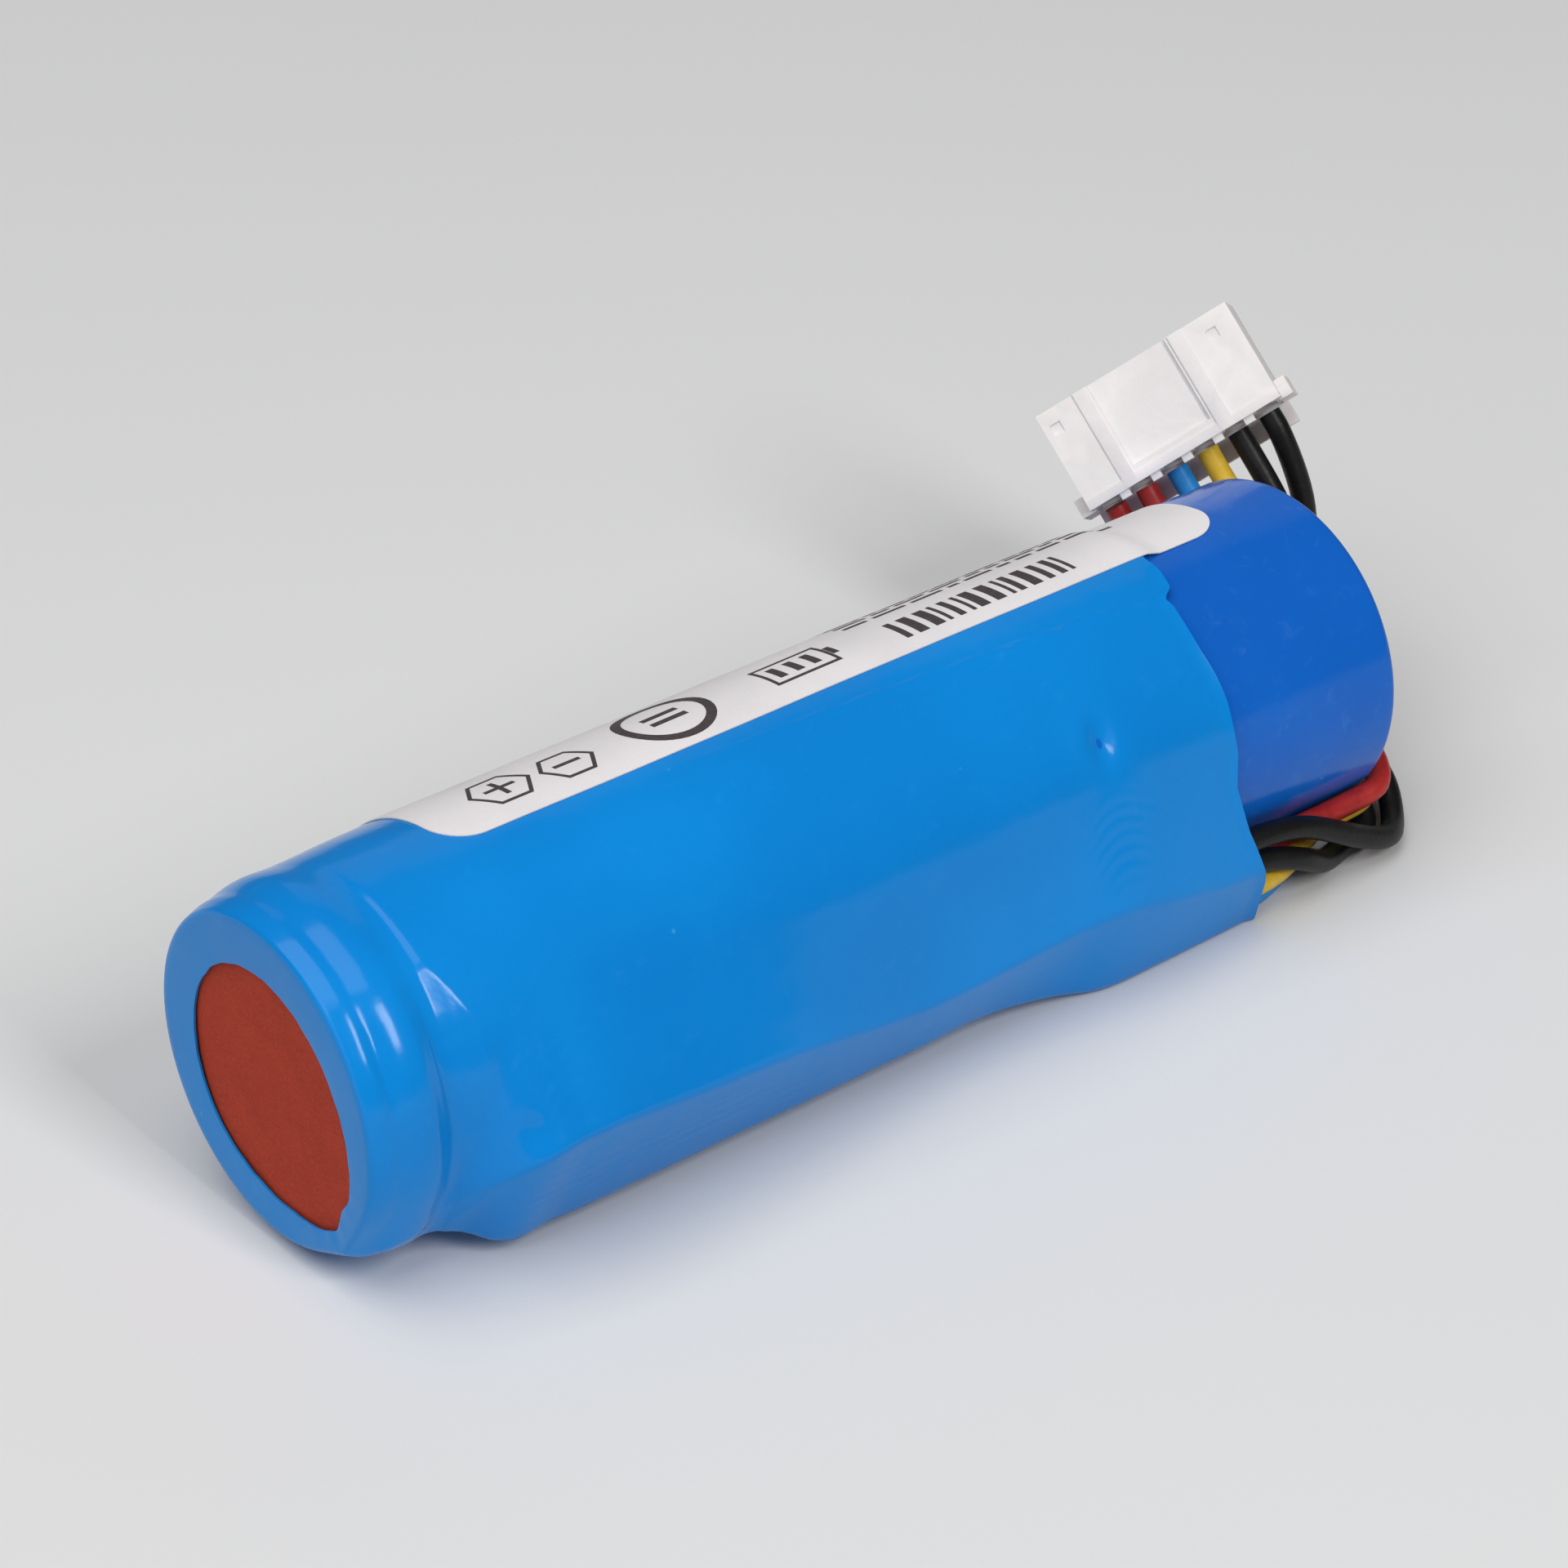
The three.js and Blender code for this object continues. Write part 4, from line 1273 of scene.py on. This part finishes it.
@dataclass
class Lead:
    """One insulated lead from its joint on the board to its contact in the plug."""

    name: str
    colour: LeadColour
    contact: int
    route: tuple[tuple[float, float, float], ...]
    diameter: float = 1.3
    per_span: int = 6

    def centreline(self, plug: PlugFrame) -> np.ndarray:
        """A smooth line through the route's points, ending in the plug.

        Args:
            plug: The plug's directions.

        Returns:
            The line's points in millimetres.
        """
        knots = np.array([*self.route, plug.raw((self.contact * plug.pitch, -0.3, 0.0))])
        first = 2 * knots[0] - knots[1]
        last = 2 * knots[-1] - knots[-2]
        ghost = np.vstack([first, knots, last])
        line = []
        for at in range(1, len(ghost) - 2):
            p0, p1, p2, p3 = ghost[at - 1 : at + 3]
            t1 = np.linalg.norm(p1 - p0) ** 0.5
            t2 = t1 + np.linalg.norm(p2 - p1) ** 0.5
            t3 = t2 + np.linalg.norm(p3 - p2) ** 0.5
            for step in range(self.per_span):
                t = t1 + (t2 - t1) * step / self.per_span
                a1 = p0 * (t1 - t) / t1 + p1 * t / t1
                a2 = p1 * (t2 - t) / (t2 - t1) + p2 * (t - t1) / (t2 - t1)
                a3 = p2 * (t3 - t) / (t3 - t2) + p3 * (t - t2) / (t3 - t2)
                b1 = a1 * (t2 - t) / t2 + a2 * t / t2
                b2 = a2 * (t3 - t) / (t3 - t1) + a3 * (t - t1) / (t3 - t1)
                line.append(b1 * (t2 - t) / (t2 - t1) + b2 * (t - t1) / (t2 - t1))
        line.append(knots[-1])
        points = np.array(line)
        for _ in range(3):
            points[1:-1] = points[1:-1] * 0.5 + (points[:-2] + points[2:]) * 0.25
        return points

    def build(
        self, shop: Workshop, plug: PlugFrame, housing: Optional[bpy.types.Object]
    ) -> None:
        """Args:
            shop: Where the piece is made.
            plug: The plug's directions.
            housing: The plug's housing, passed to the first lead; not used.
        """
        places = plug.place.at(self.centreline(plug))
        curve = bpy.data.curves.new(self.name + "_skin", "CURVE")
        curve.dimensions = "3D"
        curve.bevel_depth = self.diameter / 2 * MM
        curve.bevel_resolution = 5
        curve.use_fill_caps = True
        spline = curve.splines.new("POLY")
        spline.points.add(len(places) - 1)
        spline.points.foreach_set("co", np.hstack([places, np.ones((len(places), 1))]).ravel())
        spline.use_smooth = True
        piece = shop.settle(placed(self.name + "_skin", curve), self.colour.value)
        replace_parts(piece, self.name)
        length = float(np.sum(np.linalg.norm(np.diff(places, axis=0), axis=1)))
        tuple(places[0])


@dataclass
class Harness:
    """The six leads, in the order in which they enter the plug."""

    plug: PlugFrame
    leads: tuple[Lead, ...] = (
        Lead("lead_red_1", LeadColour.RED, 0, (
            (46, -4.9, -8.7), (50, -4.9, -8.7), (54, -4.9, -8.7), (58, -4.9, -8.75),
            (62, -4.85, -8.8), (65.5, -4.8, -8.8), (67.9, -4.5, -8.8), (69.1, -2.8, -8.75),
            (68.9, -0.6, -8.3),
            (68.8, 1.8, -6.8), (68.6, 4.2, -4.7), (68.4, 6.4, -2.6), (68.1, 8.6, -0.7),
            (67.3, 10.5, 0.9), (66.4, 11.8, 2.7),
        )),
        Lead("lead_red_2", LeadColour.RED, 1, (
            (46, -7.7, -7.1), (50, -7.7, -7.1), (54, -7.7, -7.1), (57.5, -7.7, -7.05),
            (60, -8, -6.15), (62.5, -8.1, -6), (65, -8.1, -5.95), (67.4, -8.1, -5.6),
            (68.7, -6, -4.8),
            (69, -3.4, -3.9), (68.8, -0.8, -3), (68.6, 1.7, -2), (68.4, 4.2, -0.8),
            (68.2, 6.6, 0.5), (67.9, 8.8, 2.1), (67.7, 10.8, 3.8),
        )),
        Lead("lead_blue", LeadColour.BLUE, 2, (
            (46, -8.3, -8.62), (50, -8.3, -8.62), (54, -8.4, -8.62), (57.5, -8.5, -8.7),
            (60, -7.7, -8.8), (62.5, -6.6, -8.6), (65, -6, -8.2), (67.3, -5.9, -8.1),
            (69.2, -4.2, -7.3), (70, -1.9, -6.2), (70.3, 0.5, -4.3), (70.2, 2.7, -2.1),
            (69.9, 4.8, 0), (69.6, 6.6, 1.7), (69.2, 9.6, 4.6),
        )),
        Lead("lead_yellow", LeadColour.YELLOW, 3, (
            (46, -9.2, -7.3), (50, -9.2, -7.35), (54, -9.25, -7.4), (57.5, -9.2, -7.45),
            (60, -8.5, -7.7), (62.5, -7.5, -7.35), (65, -7.15, -7.15), (67.4, -7, -7),
            (69, -5.3, -6.2), (70.6, -3.3, -5.1), (71, -0.9, -3.3), (71, 1.4, -1.1),
            (70.9, 3.6, 1), (70.8, 5.7, 3), (70.6, 8.6, 5.6),
        )),
        Lead("lead_black_1", LeadColour.BLACK, 4, (
            (46, -9.2, -4.2), (50, -9.2, -4.2), (54, -9.3, -4.25), (57.5, -9.4, -4.35),
            (60, -9.5, -4.8), (62.5, -9.6, -6), (65, -9.6, -7.4), (67.3, -9.2, -8.4),
            (69.1, -7.7, -8.7), (70.5, -5.7, -7.9), (71.3, -3.2, -7), (72, -1.2, -5),
            (72.5, 0.7, -2.8), (72.6, 2.3, -0.4), (72.5, 4, 2), (72.3, 5.8, 4.6), (72.1, 7.8, 6.7),
        )),
        Lead("lead_black_2", LeadColour.BLACK, 5, (
            (46, -9.2, -5.75), (50, -9.2, -5.75), (54, -9.3, -5.8), (57.5, -9.4, -5.9),
            (60, -9.7, -6.7), (62.3, -9.1, -8.1), (64.7, -8, -8.8), (67.3, -7.3, -8.8),
            (69.3, -5, -8.8), (70.6, -2.6, -8.3), (71.4, -0.2, -6.6), (72.2, 2.1, -4.6),
            (73.2, 4, -2.1), (74.1, 5, 0.9), (74.3, 5.6, 3.9), (73.6, 7, 7.7),
        )),
    )

    def build(self, shop: Workshop, housing: bpy.types.Object) -> None:
        """Makes every lead, and passes the plug's housing to the first of them."""
        for lead in self.leads:
            lead.build(shop, self.plug, housing if lead.contact == 0 else None)


# ------------------------------------------------------------------ the plug
@dataclass
class Plug:
    """The white six-way housing, moulded with ribs, a sunken panel, lugs and notches."""

    frame: PlugFrame
    edge: float = 1.15
    depth: float = 6.1
    half: float = 2.15
    wing: float = 0.65
    skirt: float = 1.4
    soft_edge: float = 0.11
    contacts: int = 6

    def _box(self, low: Sequence[float], high: Sequence[float]) -> bpy.types.Object:
        """A block between two corners of the plug's frame, not yet part of anything."""
        mesh = bpy.data.meshes.new("block")
        build = bmesh.new()
        bmesh.ops.create_cube(build, size=1.0)
        for vertex in build.verts:
            share = np.array(vertex.co) + 0.5
            vertex.co = Vector(np.array(low) + share * (np.array(high) - np.array(low)))
        build.to_mesh(mesh)
        build.free()
        return placed("block", mesh)

    def _combine(self, body: bpy.types.Object, block: bpy.types.Object, operation: str) -> None:
        """Adds or cuts a block, then throws it away."""
        cut = body.modifiers.new("cut", "BOOLEAN")
        cut.operation = operation
        cut.solver = "EXACT"
        cut.object = block
        self._apply(body)
        bpy.data.objects.remove(block)

    def _apply(self, body: bpy.types.Object) -> None:
        """Turns what the modifiers give into the piece's own mesh."""
        view = bpy.context.evaluated_depsgraph_get()
        made = bpy.data.meshes.new_from_object(body.evaluated_get(view))
        body.modifiers.clear()
        body.data = made

    def build(self, shop: Workshop) -> bpy.types.Object:
        """Makes the housing and lets it stand for the plain one.

        Args:
            shop: Where the piece is made.

        Returns:
            The housing.
        """
        left, right = -self.edge, (self.contacts - 1) * self.frame.pitch + self.edge
        half, depth = self.half, self.depth
        body = self._box((left, 0, -half), (right, depth, half - 0.12))
        body.name = "plug_housing_shell"
        added = [
            ((left, -self.skirt, -half), (right, 0.5, -half + 0.65)),
            ((right - 0.2, -0.1, -half + 0.2), (right + self.wing, 1.0, half - 0.9)),
            ((left - self.wing, -0.1, -half + 0.2), (left + 0.2, 1.0, half - 0.9)),
            ((left + 2.4, 0.0, half - 0.4), (left + 3.15, depth, half)),
            ((left + 8.55, 0.0, half - 0.4), (left + 9.4, depth, half)),
            ((left, 0, half - 0.5), (right, 0.55, half - 0.03)),
        ]
        for tooth in range(self.contacts - 1):
            middle = (tooth + 0.5) * self.frame.pitch
            added.append(((middle - 0.3, -0.4, half - 0.85), (middle + 0.3, 0.3, half - 0.2)))
        panel = (left + 3.35, 0.95, half - 0.36)
        cuts = [(panel, (left + 8.35, depth + 1, half + 1))]
        for contact in range(self.contacts):
            middle = contact * self.frame.pitch
            cuts.append(((middle - 0.72, -2, -0.9), (middle + 0.72, depth + 1, 0.9)))
            cuts.append(((middle - 0.5, -2, 0.4), (middle + 0.5, 0.2, half - 0.35)))
        for side in (left + 0.75, left + 10.85):
            pin_mark = (side - 0.32, depth - 1.5, half - 0.2)
            cuts.append((pin_mark, (side + 0.32, depth - 0.86, half + 1)))
        for low, high in added:
            self._combine(body, self._box(low, high), "UNION")
        for low, high in cuts:
            self._combine(body, self._box(low, high), "DIFFERENCE")
        soft = body.modifiers.new("soft_edges", "BEVEL")
        soft.width = self.soft_edge
        soft.segments = 3
        soft.limit_method = "ANGLE"
        soft.angle_limit = math.radians(40)
        self._apply(body)
        mesh = body.data
        flat = np.zeros(len(mesh.vertices) * 3)
        mesh.vertices.foreach_get("co", flat)
        mesh.vertices.foreach_set("co", self.frame.at(flat.reshape(-1, 3)).ravel())
        mesh.update()
        shop.settle(body, "plug", 30)
        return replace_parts(body, "plug_housing")


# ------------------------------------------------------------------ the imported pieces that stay
class InnerPieces:
    """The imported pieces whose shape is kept, such as the can, its header and the board."""

    def dress(self, finishes: Finishes) -> None:
        """Gives each kept piece the finish of its slot in the record."""
        for part in frame["record"]["subparts"]:
            piece = frame["nodes"][part["node"]]
            if piece.hide_render:
                continue
            finishes.dress(piece, part["material_slot"])
            log.info("%s: kept, finish %s", piece.name, part["material_slot"])


# ------------------------------------------------------------------ the studio
@dataclass
class Studio:
    """A pale floor, soft boxes, a window-shaped light, a back panel and the camera."""

    place: CellFrame
    eye: tuple[float, float, float] = (-107.501, -170.666, 140.215)
    ahead: tuple[float, float, float] = (0.53903, 0.65876, -0.52486)
    lens: float = 117.14
    sensor: float = 36.0
    floor_half: float = 3.0
    sky_colour: Colour = (0.96, 0.98, 1.0, 1.0)
    sky_strength: float = 0.08

    def camera(self) -> None:
        """Sets the camera up and makes it the scene's own."""
        data = bpy.data.cameras.new("bench_camera")
        data.lens = self.lens
        data.sensor_width = self.sensor
        data.clip_start = 0.01
        data.clip_end = 10.0
        camera = placed("bench_camera", data)
        ahead = Vector(self.ahead).normalized()
        right = ahead.cross(Vector((0, 0, 1))).normalized()
        up = right.cross(ahead)
        turn = Matrix((right, up, -ahead)).transposed().to_4x4()
        camera.matrix_world = Matrix.Translation(Vector(self.place.at(self.eye))) @ turn
        bpy.context.scene.camera = camera

    def floor(self) -> None:
        """Lays the floor at the height that the pack rests on."""
        mesh = bpy.data.meshes.new("bench")
        side = self.floor_half
        corners = [(-side, -side, 0), (side, -side, 0), (side, side, 0), (-side, side, 0)]
        mesh.from_pydata(corners, [], [(0, 1, 2, 3)])
        bench = placed("bench", mesh)
        mix = Recipe("bench_paint")
        cloud = mix.grain(0.01, 2.0)
        base = mix.blend(cloud, tint("dcdcdc"), tint("d8d8d8"))
        bench.data.materials.append(mix.coat(Base_Color=base, Roughness=0.8 + cloud * 0.1))

    def light(
        self,
        name: str,
        toward: Sequence[float],
        away: float,
        size: tuple[float, float],
        radiance: float,
    ) -> None:
        """Hangs one rectangular light that faces the pack.

        Args:
            name: The light's name.
            toward: Direction from the pack to the light.
            away: Its distance in metres.
            size: Its width and height in metres.
            radiance: How bright its face is.
        """
        data = bpy.data.lights.new(name, "AREA")
        data.shape = "RECTANGLE"
        data.size, data.size_y = size
        data.energy = radiance * math.pi * size[0] * size[1]
        lamp = placed(name, data)
        direction = Vector(toward).normalized()
        lamp.location = Vector((0, 0, 0.01)) + direction * away
        lamp.rotation_mode = "QUATERNION"
        lamp.rotation_quaternion = direction.to_track_quat("Z", "Y")

    def lights(self) -> None:
        """Sets the soft boxes, the window light and the even sky."""
        self.light("window_light", (0.02, -0.76, 0.65), 0.7, (0.14, 0.32), 16.5)
        self.light("soft_box_above", (-0.35, 0.02, 0.93), 0.9, (0.9, 0.85), 2.55)
        self.light("soft_box_left", (-1.0, -0.35, 0.55), 0.9, (0.7, 0.8), 0.8)
        self.light("back_panel", (0.6, 0.7, 0.62), 1.0, (0.7, 0.5), 0.3)
        world = bpy.data.worlds.new("studio_sky")
        world.use_nodes = True
        sky = world.node_tree.nodes["Background"]
        sky.inputs["Color"].default_value = self.sky_colour
        sky.inputs["Strength"].default_value = self.sky_strength
        bpy.context.scene.world = world

    def build(self) -> None:
        """Makes the whole studio."""
        self.camera()
        self.floor()
        self.lights()
        bpy.context.scene.view_settings.view_transform = "Standard"


# ------------------------------------------------------------------ putting it together
def main() -> None:
    """Builds the studio and every piece of the pack."""
    logging.basicConfig(level=logging.INFO, format="%(name)s: %(message)s", stream=sys.stdout)
    place = CellFrame.from_wrap()
    Studio(place).build()
    finishes = Finishes()
    shop = Workshop(finishes)
    plug_frame = PlugFrame(place)
    housing = Plug(plug_frame).build(shop)
    Harness(plug_frame).build(shop, housing)
    CellWrap(place).build(shop)
    sleeve = ShrinkSleeve(place)
    sleeve.build(shop)
    PaperDisc(place, "near_paper_disc", "near_end_disc", 0.32, 0.62).build(shop)
    PaperDisc(place, "far_paper_disc", "far_end_disc", 66.86, 66.56).build(shop)
    label = Label(place, sleeve)
    label.build(shop)
    LabelMarks(label).build(shop)
    InnerPieces().dress(finishes)


if __name__ == "__main__":
    main()
